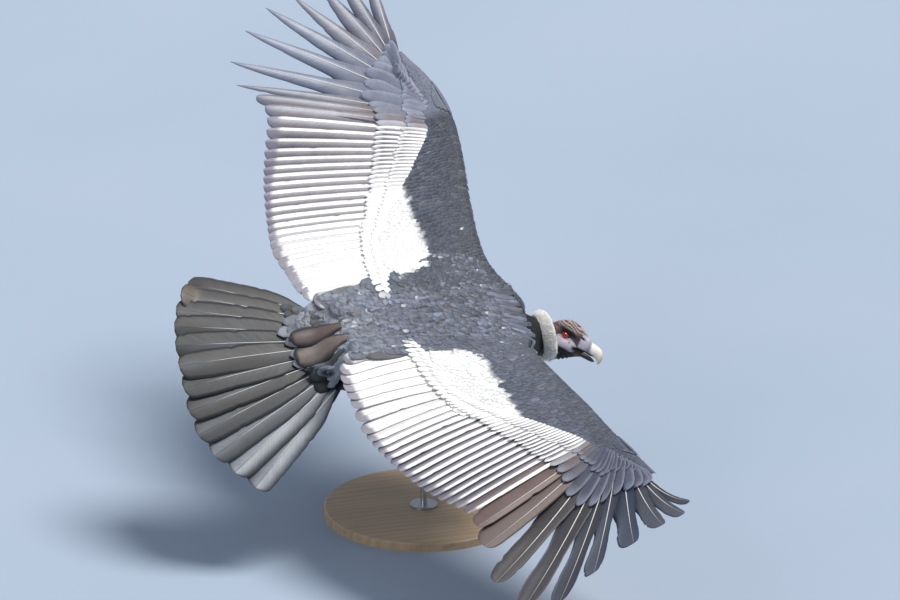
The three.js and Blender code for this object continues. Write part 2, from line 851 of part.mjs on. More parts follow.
function tail() {
  const stump = TAIL_STUMP.map(([x, halfWidth, halfHeight]) => {
    const ring = [];
    for (let n = 0; n < TAIL_STUMP_SIDES; n++) {
      const angle = (2 * Math.PI * n) / TAIL_STUMP_SIDES;
      const y = halfWidth * Math.sin(angle);
      ring.push(vec([x, y, TAIL_ROOT[2] + TAIL_TILT * y + halfHeight * Math.cos(angle)]));
    }
    return ring;
  });
  const solids = [loft(stump)];
  for (let k = 0; k < TAIL_FEATHERS; k++) {
    const index = k - (TAIL_FEATHERS - 1) / 2;
    const topmost = index === 0.5 ? { roll: 0, lift: [2.5, 2.5] } : {};
    const size = { ...TAIL_SIZE, outward: Math.sign(index), ...topmost };
    solids.push(feather(tailSheet, index, size, TAIL_VANE));
  }
  for (const index of TAIL_COVERT_PLACES)
    solids.push(feather(tailSheet, index, { ...TAIL_COVERT, outward: Math.sign(index) }, SHORT_VANE));
  return largest(unite(solids).subtract(torso(GAP)));
}

// Legs and feet, trailed under the tail

// A tube with a radius at each point of its way.
function limb(rows, sides) {
  const way = through(rows.map((row, k) => [k, ...row]));
  const rings = [];
  for (let t = 0; t < rows.length; t++) {
    const point = vec(way(t));
    const along = vec(way(t + 0.05)).sub(vec(way(t - 0.05))).normalize();
    const side = new THREE.Vector3().crossVectors(along, vec([0, 0, 1])).normalize();
    const up = new THREE.Vector3().crossVectors(side, along);
    const radius = way(t)[3];
    const ring = [];
    for (let n = 0; n < sides; n++) {
      const angle = (2 * Math.PI * n) / sides;
      const across = side.clone().multiplyScalar(radius * Math.cos(angle));
      ring.push(across.addScaledVector(up, radius * Math.sin(angle)).add(point));
    }
    rings.push(ring);
  }
  return loft(rings);
}

const mirrored = (rows, sign) => rows.map(([x, y, z, radius]) => [x, y * sign, z, radius]);

function leg(sign) {
  return largest(limb(mirrored(LEG, sign), LEG_SIDES).subtract(torso(GAP)));
}

function foot(sign) {
  const lines = [MIDDLE_TOE, INNER_TOE, OUTER_TOE, HIND_TOE];
  const toes = lines.map((toe) => limb(mirrored(toe, sign), TOE_SIDES));
  const shank = mirrored(LEG, sign).map(([x, y, z, radius]) => [x - GAP, y, z, radius + GAP]);
  return largest(unite(toes).subtract(limb(shank, LEG_SIDES)));
}

// The bird, then the stand under it

const bird = new THREE.Group();
const bank = new THREE.Matrix4().makeRotationX(radians(BANK_DEGREES));
const pitch = new THREE.Matrix4().makeRotationY(-radians(NOSE_UP_DEGREES));
const attitude = pitch.multiply(bank);
const held = vec(HELD_POINT).applyMatrix4(attitude);
bird.quaternion.setFromRotationMatrix(attitude);
bird.position.set(-held.x, -held.y, HELD_HEIGHT - held.z);

bird.add(named("torso", torso(), materials.body));
const neckSolid = largest(neck().subtract(unite([torso(GAP), skull(GAP)])));
bird.add(named("neck", neckSolid, materials.skin));
bird.add(named("ruff", ruff(), materials.down));
bird.add(named("head", head(), materials.skin));
bird.add(named("bill_upper", bill(BILL_UPPER), materials.bill));
bird.add(named("bill_lower", bill(BILL_LOWER), materials.bill));
bird.add(named("tail", tail(), materials.wing));
const wings = {
  left: wingLines(1, LEFT_SHOULDER, LEFT_HAND_ROOTS, LEFT_HAND_LEAD, LEFT_HAND_TIPS, LEFT_FLEX),
  right: wingLines(-1, RIGHT_SHOULDER, RIGHT_HAND_ROOTS, RIGHT_HAND_LEAD, RIGHT_HAND_TIPS, RIGHT_FLEX),
};
for (const [side, lines] of Object.entries(wings)) {
  const { arm, hand } = wing(lines);
  bird.add(named(`wing_${side}_arm`, arm, materials.wing));
  bird.add(named(`wing_${side}_hand`, hand, materials.wing));
  bird.add(named(`eye_${side}`, eyeball(lines.sign), materials.eye));
  bird.add(named(`leg_${side}`, leg(lines.sign), materials.body));
  bird.add(named(`foot_${side}`, foot(lines.sign), materials.foot));
}

const worldUp = vec([0, 0, 1]).applyMatrix4(attitude.clone().transpose());
const rodFoot = vec(HELD_POINT).addScaledVector(worldUp, BASE_THICKNESS + GAP - HELD_HEIGHT);
const rodLength = HELD_HEIGHT - BASE_THICKNESS;
const rodProfile = [
  [0, 0],
  [FLANGE_RADIUS, 0],
  [FLANGE_RADIUS, FLANGE_THICKNESS - 2],
  [FLANGE_RADIUS - 2, FLANGE_THICKNESS],
  [ROD_RADIUS, FLANGE_THICKNESS],
  [ROD_RADIUS, rodLength],
  [0, rodLength],
].map(([radius, height]) => new THREE.Vector2(radius, height));
const rodShape = new THREE.LatheGeometry(rodProfile, 16).applyQuaternion(
  new THREE.Quaternion().setFromUnitVectors(vec([0, 1, 0]), worldUp),
);
rodShape.translate(rodFoot.x, rodFoot.y, rodFoot.z);
bird.add(named("stand_rod", largest(solidOf(rodShape).subtract(torso(GAP))), materials.rod));

const baseProfile = [
  [0, 0],
  [BASE_RADIUS, 0],
  [BASE_RADIUS, BASE_THICKNESS - BASE_CHAMFER],
  [BASE_RADIUS - BASE_CHAMFER, BASE_THICKNESS],
  [0, BASE_THICKNESS],
].map(([radius, height]) => new THREE.Vector2(radius, height));
const baseShape = new THREE.LatheGeometry(baseProfile, 48).rotateX(Math.PI / 2);
const condor = new THREE.Group();
condor.add(bird, named("stand_base", solidOf(baseShape), materials.base));

export default condor;
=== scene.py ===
"""The looks of an andean condor in flight: an adult female, life size, on a plain display stand.

The bird's own frame is in millimetres: +X forward, +Y its left, +Z up, from mid torso. The last step
of each mesh turns it into the row frame, in metres, banked as the bird flies.
"""

import math

import bpy
import numpy as np
from mathutils import Matrix, Vector
from mathutils.bvhtree import BVHTree


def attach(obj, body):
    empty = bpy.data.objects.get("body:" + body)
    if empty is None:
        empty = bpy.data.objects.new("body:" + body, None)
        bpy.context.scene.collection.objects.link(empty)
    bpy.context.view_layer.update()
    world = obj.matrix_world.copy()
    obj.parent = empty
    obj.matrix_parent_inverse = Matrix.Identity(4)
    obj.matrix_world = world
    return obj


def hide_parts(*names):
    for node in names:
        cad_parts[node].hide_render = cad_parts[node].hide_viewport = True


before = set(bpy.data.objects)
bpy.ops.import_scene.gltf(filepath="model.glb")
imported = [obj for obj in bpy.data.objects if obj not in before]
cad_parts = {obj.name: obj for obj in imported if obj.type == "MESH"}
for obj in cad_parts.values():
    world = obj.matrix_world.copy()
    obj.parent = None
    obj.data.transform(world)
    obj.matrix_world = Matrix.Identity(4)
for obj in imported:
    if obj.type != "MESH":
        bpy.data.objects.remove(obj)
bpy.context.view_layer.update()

draw = np.random.default_rng(11)
MM = 0.001

# How the bird hangs in the air.
BANK = math.radians(19.2)
NOSE_UP = math.radians(6.5)
HELD_POINT = np.array([25.0, 0, -30])
HELD_HEIGHT = 420.0
ROLLED = np.array([[1, 0, 0], [0, math.cos(BANK), -math.sin(BANK)], [0, math.sin(BANK), math.cos(BANK)]])
PITCHED = np.array(
    [[math.cos(NOSE_UP), 0, -math.sin(NOSE_UP)], [0, 1, 0], [math.sin(NOSE_UP), 0, math.cos(NOSE_UP)]]
)
ATTITUDE = PITCHED @ ROLLED
PLACE = np.array([0, 0, HELD_HEIGHT]) - ATTITUDE @ HELD_POINT


def to_world(points):
    return (np.asarray(points, float) @ ATTITUDE.T + PLACE) * MM


# Camera: the photo looks down on the bird's back, with the body's middle at this pixel.
PHOTO_SIZE = (900, 600)
MIDDLE_PIXEL = (414, 345)
PIXELS_PER_METRE = 417.0
TO_CAMERA = np.array([-0.28435, -0.88242, 0.37480])
IMAGE_UP = np.array([0.11382, 0.35710, 0.92711])
LENS = 1000.0
DISTANCE = PHOTO_SIZE[0] / PIXELS_PER_METRE * LENS / 36

# Torso sections from tail to neck: x, height of the middle, half width, rise above it, drop below it.
TORSO = [
    [-250, 48, 46, 14, 14],
    [-238, 48, 66, 32, 26],
    [-200, 42, 92, 54, 48],
    [-120, 20, 116, 80, 72],
    [-20, 2, 130, 93, 96],
    [90, -9, 134, 90, 114],
    [175, -19, 130, 88, 114],
    [240, -34, 116, 80, 96],
    [276, -48, 92, 70, 78],
    [298, -58, 66, 58, 62],
    [308, -63, 46, 44, 46],
]
# How far the skin lies inside the solids.
COAT_DEPTH = 9

NECK = [
    [270, 0, -56, 38],
    [296, 0, -60, 36],
    [320, 0, -66, 35],
    [338, 1, -70, 35],
    [352, 1, -74, 34],
]
RUFF_CENTRE = np.array([330.0, 0, -67])
RUFF_RADIUS = 47
# The dark base of the neck, feathered up to the back of the ruff.
COLLAR = np.array(
    [[286.0, 0, -56, 52], [298, 0, -60, 49], [308, 0, -63, 46], [320, 0, -66, 43], [332, 0, -68, 42]]
)

HEAD_PLACE = np.array([381.0, -8, -73])
HEAD_FORWARD = np.array([0.744, -0.577, -0.336])
HEAD_UP = np.array([0.624, 0.42, 0.659])
# Head sections: x, crown height, throat height, height of the widest part, half width.
HEAD = [
    [-46, 8, -54, -22, 28],
    [-42, 12, -60, -22, 31],
    [-25, 27, -66, -20, 35],
    [-8, 36, -65, -17, 35],
    [6, 39, -61, -14, 33],
    [28, 33, -47, -9, 28],
    [44, 26, -36, -7, 21],
    [54, 21, -31, -6, 16.5],
    [58, 19, -29, -6, 14],
]
EYE_RADIUS = 10
EYE_OUT = 23.5
EAR_PLACE = (-25, 34.5, -12)
BILL_UPPER = [
    [50, 2.5, 18.5, 15.5, 0],
    [58, 1.5, 18, 15, 1],
    [66, -1.5, 15, 13, 5],
    [78, -3, 15, 12.5, 12],
    [89, -5, 13, 11, 30],
    [97, -12, 10, 8, 58],
    [100.5, -21, 5.5, 4.5, 85],
    [100.5, -28, 1.5, 1.5, 100],
]
BILL_LOWER = [
    [50, -24, 6.8, 13.8, 0],
    [66, -23.8, 6, 12, 0],
    [78, -24.6, 5.4, 10, 0],
    [86, -25.4, 3.6, 7.5, 0],
    [91, -25.8, 1.2, 3, 0],
]

# Flight feathers are numbered from the body out: 0 to 21 on the arm, 22 to 31 on the hand.
INNERMOST, FEATHERS, FIRST_FINGER = -2, 32, 24
ARM_ROOTS = [
    [-3, -20, 30, 70],
    [0, -10, 130, 98],
    [5, 22, 270, 88],
    [10, 92, 375, 95],
    [16, 186, 490, 110],
    [21, 248, 574, 120],
]
LEFT_SHOULDER = [[-3, 292, 36, -34], [-1.5, 306, 70, -20], [0, 286, 102, 2], [2.5, 255, 150, 36]]
RIGHT_SHOULDER = [[-3, 270, 36, -34], [-1.5, 280, 70, -18], [0, 268, 102, 6], [2.5, 246, 150, 40]]
ARM_LEAD = [[5, 242, 200, 70], [10, 258, 325, 98], [16, 286, 460, 112], [21, 306, 575, 122]]
WING_THICKNESS = [[-3, 70], [0, 58], [6, 46], [12, 37], [18, 31], [22, 27], [27, 19], [31, 11]]
ARM_TIPS = [
    [-3, -160, 40, 112],
    [0, -234, 147, 110],
    [4, -242, 249, 92],
    [6, -244, 337, 82],
    [10, -223, 445, 85],
    [14, -194, 554, 95],
    [18, -158, 654, 112],
    [21, -121, 742, 136],
    [22, -110, 790, 132],
    [23, -112, 847, 118],
]
# The low right hand is spread and curled up with broad fingers, the high left one swept back with slim ones.
# A finger gives its width along the feather, and a breadth scales it by the feather's number.
LEFT_HAND = dict(
    roots=[[22, 253, 598, 124], [26, 256, 668, 138], [31, 226, 762, 158]],
    lead=[[24, 306, 655, 134], [27.5, 290, 742, 150], [31, 256, 820, 168]],
    tips=[
        [24, -127, 955, 66],
        [25, -116, 1034, 72],
        [26, -52, 1113, 88],
        [27, 12, 1143, 118],
        [28, 83, 1148, 132],
        [29, 156, 1158, 140],
        [30, 208, 1150, 160],
        [31, 262, 1100, 186],
    ],
    sag=-6,
    twist=-34,
    breadth=[[22, 1.0], [27, 1.0], [29, 1.15], [31, 1.0]],
    finger=[
        [0, 0.16], [0.26, 0.95], [0.4, 0.84], [0.5, 0.58],
        [0.66, 0.48], [0.82, 0.38], [0.94, 0.18], [1, 0.03],
    ],
)
RIGHT_HAND = dict(
    roots=[[22, 258, 598, 124], [26, 276, 662, 140], [31, 300, 752, 165]],
    lead=[[24, 318, 645, 136], [27.5, 328, 728, 156], [31, 332, 800, 180]],
    tips=[
        [24, -120, 952, 96],
        [25, -88, 1069, 112],
        [26, -18, 1119, 150],
        [27, 67, 1119, 218],
        [28, 167, 1117, 281],
        [29, 240, 1117, 319],
        [30, 290, 1124, 346],
        [31, 313, 1098, 356],
    ],
    sag=24,
    twist=-14,
    breadth=[[22, 1.12], [28, 1.08], [29, 0.84], [30, 0.6], [31, 0.36]],
    finger=[
        [0, 0.16], [0.28, 0.95], [0.46, 0.86], [0.58, 0.74],
        [0.84, 0.74], [0.94, 0.6], [0.985, 0.36], [1, 0.06],
    ],
)
FLESH_TOP = [[0, 0], [0.04, 0.3], [0.22, 0.5], [0.6, 0.4], [1, 0.14]]
FLESH_UNDER = [[0, 0], [0.04, -0.24], [0.2, -0.3], [0.6, -0.14], [1, -0.1]]

# Widths of a flight feather's leading and trailing webs by its number, and how it is rolled.
WEBS = [
    [-2, 22, 30],
    [0, 21, 30],
    [5, 19, 34],
    [10, 14, 30],
    [16, 10.5, 30],
    [21, 9.5, 32],
    [22.5, 17, 42],
    [24, 25, 46],
    [26, 24.6, 53],
    [31, 18.5, 48],
]
ROLL = [[-2, 8], [21, 8], [26, 10], [31, 10]]
COVERT_REACH = [[-2, 0.24], [6, 0.24], [12, 0.28], [21, 0.36], [22, 0.34], [31, 0.3]]

TAIL_ROOT = np.array([-250.0, 0, 50])
TAIL_FEATHERS = 12
TAIL_LENGTH = 334
TAIL_ROOT_SPREAD = 104
TAIL_HALF_FAN = math.radians(31)
TAIL_TILT = 0.354
TAIL_RISE = 36
TAIL_SAG = 52
TAIL_TURN = 30
TAIL_VANE = [[0, 0.16], [0.28, 0.9], [0.7, 1], [0.92, 0.95], [0.975, 0.78], [1, 0.3]]
TAIL_STUMP = [[-196, 70, 10], [-222, 92, 13], [-250, 106, 12], [-272, 108, 8], [-284, 104, 4]]

LEG = [[-60, 62, -58, 24], [-120, 62, -52, 19], [-165, 58, -40, 12], [-205, 54, -26, 9], [-246, 52, -14, 8.5]]
TOES = [
    [[-240, 52, -14, 9], [-262, 56, -14, 7.5], [-300, 62, -20, 6], [-340, 64, -26, 5], [-362, 64, -36, 1.2]],
    [
        [-240, 50, -14, 9], [-260, 44, -14, 7], [-290, 36, -20, 5.5],
        [-314, 32, -26, 4.5], [-332, 30, -34, 1.2],
    ],
    [
        [-240, 54, -14, 9], [-258, 66, -14, 7], [-284, 78, -18, 5.5],
        [-304, 84, -24, 4.5], [-322, 86, -32, 1.2],
    ],
    [[-240, 50, -16, 9], [-244, 46, -26, 6], [-256, 42, -38, 4.5], [-272, 40, -42, 1.2]],
]


def linear(red, green, blue):
    """A colour from its screen values, 0 to 255, as the renderer counts light."""
    c = np.array([red, green, blue]) / 255
    return np.where(c <= 0.04045, c / 12.92, ((c + 0.055) / 1.055) ** 2.4)


SLATE = linear(86, 90, 102)
SLATE_DARK = linear(34, 36, 44)
SLATE_PALE = linear(150, 157, 172)
BLACK = linear(13, 13, 15)
WHITE = linear(243, 241, 237)
DOWN_WHITE = linear(248, 245, 239)
# The greys of the inner webs. WEB_DARK also serves as painted shadow along the feathers' edges.
WEB_GREY = linear(150, 144, 150)
WEB_DARK = linear(98, 92, 101)
TIP_GREY = linear(116, 112, 126)
TAIL_GREY = linear(42, 44, 45)
IVORY = linear(222, 216, 206)


def mix(a, b, share):
    share = np.asarray(share, float)[..., None]
    return np.asarray(a) * (1 - share) + np.asarray(b) * share


def unit(v):
    return v / np.maximum(np.linalg.norm(v, axis=-1, keepdims=True), 1e-9)


def step(low, high, x):
    """0 below low, 1 above high, smooth between."""
    t = np.clip((np.asarray(x, float) - low) / (high - low), 0, 1)
    return t * t * (3 - 2 * t)


def bell(distance, width):
    return np.exp(-((np.asarray(distance, float) / width) ** 2))


def through(rows):
    """A smooth curve through rows of [t, values...], straight on past its ends."""
    rows = np.array(rows, float)
    t, v = rows[:, 0], rows[:, 1:]
    before = np.maximum(np.arange(len(t)) - 1, 0)
    after = np.minimum(np.arange(len(t)) + 1, len(t) - 1)
    slopes = (v[after] - v[before]) / (t[after] - t[before])[:, None]

    def at(x):
        x = np.asarray(x, float)
        k = np.clip(np.searchsorted(t, x, side="right") - 1, 0, len(t) - 2)
        span = (t[k + 1] - t[k])[..., None]
        s = (x - t[k])[..., None] / span
        s2, s3 = s * s, s * s * s
        curve = (
            v[k] * (2 * s3 - 3 * s2 + 1)
            + slopes[k] * span * (s3 - 2 * s2 + s)
            + v[k + 1] * (3 * s2 - 2 * s3)
            + slopes[k + 1] * span * (s3 - s2)
        )
        below = v[0] + slopes[0] * (x - t[0])[..., None]
        above = v[-1] + slopes[-1] * (x - t[-1])[..., None]
        return np.where((x < t[0])[..., None], below, np.where((x > t[-1])[..., None], above, curve))

    return at


def wobble(x, seed, octaves=3):
    """Smooth noise of one number, about -1 to 1."""
    x = np.asarray(x, float)
    total = np.zeros_like(x)
    for k in range(octaves):
        total += np.sin(x * 1.7**k * 2.1 + seed * (3.1 + k) + np.sin(x * 1.3 * 1.6**k + seed)) / 1.5**k
    return total / 2


# Meshes


class Coat:
    """Many vanes, shafts and tufts that become one mesh."""

    def __init__(self):
        self.points, self.quads, self.sharp, self.tones, self.barbs, self.bakes = [], [], [], [], [], []
        self.slots = []
        self.count = 0

    def add(self, points, quads, sharp, tone, barb, bake, slot=0):
        """points (N, K, 3), one set of quads (F, 4) used for each of the N."""
        n, k = points.shape[:2]
        self.points.append(points.reshape(-1, 3))
        shift = self.count + np.arange(n)[:, None, None] * k
        self.quads.append((quads[None] + shift).reshape(-1, 4))
        self.sharp.append(np.tile(sharp, n))
        self.tones.append(np.broadcast_to(tone, points.shape).reshape(-1, 3))
        self.barbs.append(np.broadcast_to(barb, points.shape).reshape(-1, 3))
        self.bakes.append(bake.reshape(-1, 2))
        self.slots.append(np.full(n * len(quads), slot))
        self.count += n * k

    def vanes(self, line, across, up, lead, trail, tone, bake, columns, thick=0.6, droop=0.12, slot=0):
        """Closed thin vanes. line, across and up are (N, R, 3) along each vane, lead and trail (N, R) the
        widths of its webs. tone(u, v) gives (N, R, C, 3). bake is (N, 2), or (N, 4) for its own strip."""
        n, r = line.shape[:2]
        v = np.asarray(columns, float)
        c = len(v)
        width = np.where(v[None, None] >= 0, lead[..., None], trail[..., None])
        side = v[None, None] * width
        sink = -droop * np.abs(v)[None, None] ** 1.6 * width
        face = line[:, :, None] + across[:, :, None] * side[..., None] + up[:, :, None] * sink[..., None]
        half = up[:, :, None] * thick / 2 * (1 - 0.7 * np.abs(v))[None, None, :, None]
        points = np.concatenate([(face + half).reshape(n, r * c, 3), (face - half).reshape(n, r * c, 3)], 1)
        length = np.linalg.norm(np.diff(line, axis=1), axis=2)
        along = np.concatenate([np.zeros((n, 1)), np.cumsum(length, 1)], 1)
        u = along / np.maximum(along[:, -1:], 1e-6)
        colours = np.broadcast_to(tone(u[:, :, None], v[None, None]), (n, r, c, 3)).reshape(n, r * c, 3)
        colours = np.concatenate([colours, colours], 1)
        seed = draw.uniform(0, 400, (n, 1, 1))
        barb = np.stack(np.broadcast_arrays(side, along[:, :, None], seed), -1).reshape(n, r * c, 3)
        barb = np.concatenate([barb, barb], 1)
        if bake.shape[1] == 2:
            patch = 0.003 * np.stack(np.broadcast_arrays(v[None, None] / 2, u[:, :, None] - 0.5), -1)
            at = bake[:, None, None] + patch
        else:
            low, high = bake[:, None, None, :2], bake[:, None, None, 2:]
            share = np.stack(np.broadcast_arrays((v[None, None] + 1) / 2, u[:, :, None]), -1)
            at = low + (high - low) * share
        at = at.reshape(n, r * c, 2)
        at = np.concatenate([at, at], 1)
        quads, sharp = self.sheet(r, c)
        self.add(points, quads, sharp, colours, barb, at, slot)

    @staticmethod
    def sheet(r, c):
        ids = np.arange(r * c).reshape(r, c)
        a, b, d, e = ids[:-1, :-1], ids[:-1, 1:], ids[1:, 1:], ids[1:, :-1]
        top = np.stack([a, b, d, e], -1).reshape(-1, 4)
        under = np.stack([a, e, d, b], -1).reshape(-1, 4) + r * c
        rim = np.concatenate([ids[0, :], ids[1:, -1], ids[-1, -2::-1], ids[-2:0:-1, 0]])
        after = np.roll(rim, -1)
        edge = np.stack([after, rim, rim + r * c, after + r * c], -1)
        quads = np.concatenate([top, under, edge])
        return quads, np.arange(len(quads)) >= len(top) * 2

    def tubes(self, line, across, up, wide, high, tone, bake, sides=6, slot=0):
        """Closed tapering tubes of an even number of sides. wide and high are (N, R) radii."""
        n, r = line.shape[:2]
        turn = 2 * np.pi * np.arange(sides) / sides
        ring = (
            line[:, :, None]
            + across[:, :, None] * (wide[..., None] * np.sin(turn))[..., None]
            + up[:, :, None] * (high[..., None] * np.cos(turn))[..., None]
        )
        ends = np.stack([line[:, 0], line[:, -1]], 1)
        points = np.concatenate([ring.reshape(n, r * sides, 3), ends], 1)
        ids = np.arange(r * sides).reshape(r, sides)
        nxt = np.roll(ids, -1, 1)
        wall = np.stack([ids[:-1], ids[1:], nxt[1:], nxt[:-1]], -1).reshape(-1, 4)
        first, last = r * sides, r * sides + 1
        caps = []
        for k in range(0, sides, 2):
            caps.append([first, ids[0, k], ids[0, k + 1], ids[0, (k + 2) % sides]])
            caps.append([last, ids[-1, (k + 2) % sides], ids[-1, k + 1], ids[-1, k]])
        quads = np.concatenate([wall, np.array(caps)])
        tone = np.broadcast_to(tone, (n, r, 3))
        colours = np.concatenate([np.repeat(tone, sides, 1), tone[:, :1], tone[:, -1:]], 1)
        u = np.linspace(0, 1, r)
        if bake.shape[1] == 2:
            at = bake[:, None, None] + 0.003 * np.stack(
                np.broadcast_arrays(turn[None, None] / 7, u[None, :, None]), -1
            )
        else:
            low, high_corner = bake[:, None, None, :2], bake[:, None, None, 2:]
            share = np.stack(np.broadcast_arrays(0.45 + turn[None, None] / 70, u[None, :, None]), -1)
            at = low + (high_corner - low) * share
        at = at.reshape(n, r * sides, 2)
        at = np.concatenate([at, at[:, :1], at[:, -1:]], 1)
        self.add(points, quads, np.zeros(len(quads), bool), colours, np.zeros(3), at, slot)

    def build(self, name, materials, replaces=()):
        points = to_world(np.concatenate(self.points))
        quads = np.concatenate(self.quads)
        o = new_mesh(name, points, quads)
        mesh = o.data
        put(mesh, "sharp_face", "BOOLEAN", "FACE", "value", np.concatenate(self.sharp))
        tones = np.concatenate(self.tones)
        put(mesh, "tone", "FLOAT_COLOR", "POINT", "color", np.c_[tones, np.ones(len(tones))])
        put(mesh, "barb", "FLOAT_VECTOR", "POINT", "vector", np.concatenate(self.barbs))
        uv = mesh.uv_layers.new(name="OFBake")
        uv.uv.foreach_set("vector", np.concatenate(self.bakes)[quads.ravel()].astype(np.float32).ravel())
        for material in materials:
            mesh.materials.append(material)
        mesh.polygons.foreach_set("material_index", np.concatenate(self.slots).astype(np.int32))
        return finished(o, replaces)


def new_mesh(name, points, quads):
    mesh = bpy.data.meshes.new(name)
    mesh.vertices.add(len(points))
    mesh.vertices.foreach_set("co", np.asarray(points, np.float32).ravel())
    quads = np.asarray(quads)
    mesh.loops.add(quads.size)
    mesh.loops.foreach_set("vertex_index", quads.astype(np.int32).ravel())
    mesh.polygons.add(len(quads))
    mesh.polygons.foreach_set("loop_start", np.arange(0, quads.size, quads.shape[1], dtype=np.int32))
    mesh.update(calc_edges=True)
    mesh.validate()
    o = bpy.data.objects.new(name, mesh)
    bpy.context.scene.collection.objects.link(o)
    return o


def put(mesh, name, kind, domain, field, values):
    layer = mesh.attributes.get(name) or mesh.attributes.new(name, kind, domain)
    layer.data.foreach_set(field, np.asarray(values, np.float32 if kind != "BOOLEAN" else bool).ravel())


def finished(o, replaces=()):
    o.data.update()
    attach(o, "root")
    if replaces:
        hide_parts(*replaces)
    return o


def loft(name, rings):
    """A closed skin over rings (R, S, 3) in the bird's frame, still unturned."""
    rings = np.asarray(rings, float)
    r, s = rings.shape[:2]
    ids = np.arange(r * s).reshape(r, s)
    nxt = np.roll(ids, -1, 1)
    faces = np.stack([ids[:-1], nxt[:-1], nxt[1:], ids[1:]], -1).reshape(-1, 4).tolist()
    points = [*rings.reshape(-1, 3), rings[0].mean(0), rings[-1].mean(0)]
    first, last = r * s, r * s + 1
    for k in range(s):
        faces.append([first, (k + 1) % s, k])
        faces.append([last, int(ids[-1, k]), int(nxt[-1, k])])
    mesh = bpy.data.meshes.new(name)
    mesh.from_pydata([tuple(p) for p in points], [], faces)
    mesh.update()
    o = bpy.data.objects.new(name, mesh)
    bpy.context.scene.collection.objects.link(o)
    return o


def welded(name, objects, voxel, smooth=6):
    """One closed skin round several overlapping solids."""
    bpy.ops.object.select_all(action="DESELECT")
    for o in objects:
        o.select_set(True)
    bpy.context.view_layer.objects.active = objects[0]
    bpy.ops.object.join()
    o = bpy.context.view_layer.objects.active
    o.name = name
    o.data.name = name
    remesh = o.modifiers.new("remesh", "REMESH")
    remesh.mode = "VOXEL"
    remesh.voxel_size = voxel
    if smooth:
        soften = o.modifiers.new("soften", "SMOOTH")
        soften.factor = 0.5
        soften.iterations = smooth
    made = bpy.data.meshes.new_from_object(o.evaluated_get(bpy.context.evaluated_depsgraph_get()))
    o.modifiers.clear()
    o.data = made
    o.data.name = name
    return o


def points_of(o):
    co = np.empty(len(o.data.vertices) * 3, np.float32)
    o.data.vertices.foreach_get("co", co)
    return co.reshape(-1, 3).astype(float)


def normals_of(o):
    values = np.empty(len(o.data.vertices) * 3, np.float32)
    o.data.vertices.foreach_get("normal", values)
    return values.reshape(-1, 3).astype(float)


def set_points(o, points):
    o.data.vertices.foreach_set("co", np.asarray(points, np.float32).ravel())
    o.data.update()


def shade_smooth(o):
    o.data.polygons.foreach_set("use_smooth", np.ones(len(o.data.polygons), bool))


# Materials


class Nodes:
    """A material's node tree, made call by call."""

    def __init__(self, name):
        self.material = bpy.data.materials.new(name)
        self.material.use_nodes = True
        self.tree = self.material.node_tree
        self.shader = self.tree.nodes["Principled BSDF"]

    def node(self, kind, inputs=None, **settings):
        made = self.tree.nodes.new(kind)
        for key, value in settings.items():
            setattr(made, key, value)
        for key, value in (inputs or {}).items():
            self.link(value, made.inputs[key])
        return made

    def link(self, value, socket):
        if isinstance(value, bpy.types.NodeSocket):
            self.tree.links.new(value, socket)
        elif isinstance(value, bpy.types.Node):
            self.tree.links.new(value.outputs[0], socket)
        else:
            socket.default_value = value

    def math(self, operation, a, b=0.0, c=0.0):
        return self.node("ShaderNodeMath", {0: a, 1: b, 2: c}, operation=operation).outputs[0]

    def attribute(self, name):
        return self.node("ShaderNodeAttribute", attribute_name=name)

    def blend(self, factor, a, b, mode="MIX"):
        made = self.node("ShaderNodeMix", data_type="RGBA", blend_type=mode)
        self.link(factor, made.inputs[0])
        self.link(a, made.inputs[6])
        self.link(b, made.inputs[7])
        return made.outputs[2]

    def ramp(self, factor, stops):
        made = self.node("ShaderNodeValToRGB", {0: factor})
        ramp = made.color_ramp
        while len(ramp.elements) < len(stops):
            ramp.elements.new(0.5)
        for element, (place, value) in zip(ramp.elements, stops):
            element.position = place
            rgb = value if hasattr(value, "__len__") else (value,) * 3
            element.color = (*rgb, 1)
        return made.outputs[0]

    def noise(self, vector, scale, detail=3.0, rough=0.5):
        return self.node(
            "ShaderNodeTexNoise", {"Vector": vector, "Scale": scale, "Detail": detail, "Roughness": rough}
        ).outputs[0]

    def scaled(self, colour, gain):
        return self.node("ShaderNodeVectorMath", {0: colour, 3: gain}, operation="SCALE").outputs[0]

    def finish(self, colour, roughness, height=None, strength=0.3, distance=0.0004, **constant):
        self.link(colour, self.shader.inputs["Base Color"])
        self.link(roughness, self.shader.inputs["Roughness"])
        if height is not None:
            bump = self.node("ShaderNodeBump", {"Strength": strength, "Distance": distance, "Height": height})
            self.link(bump, self.shader.inputs["Normal"])
        for name, value in constant.items():
            self.shader.inputs[name.replace("_", " ")].default_value = value
        return self.material


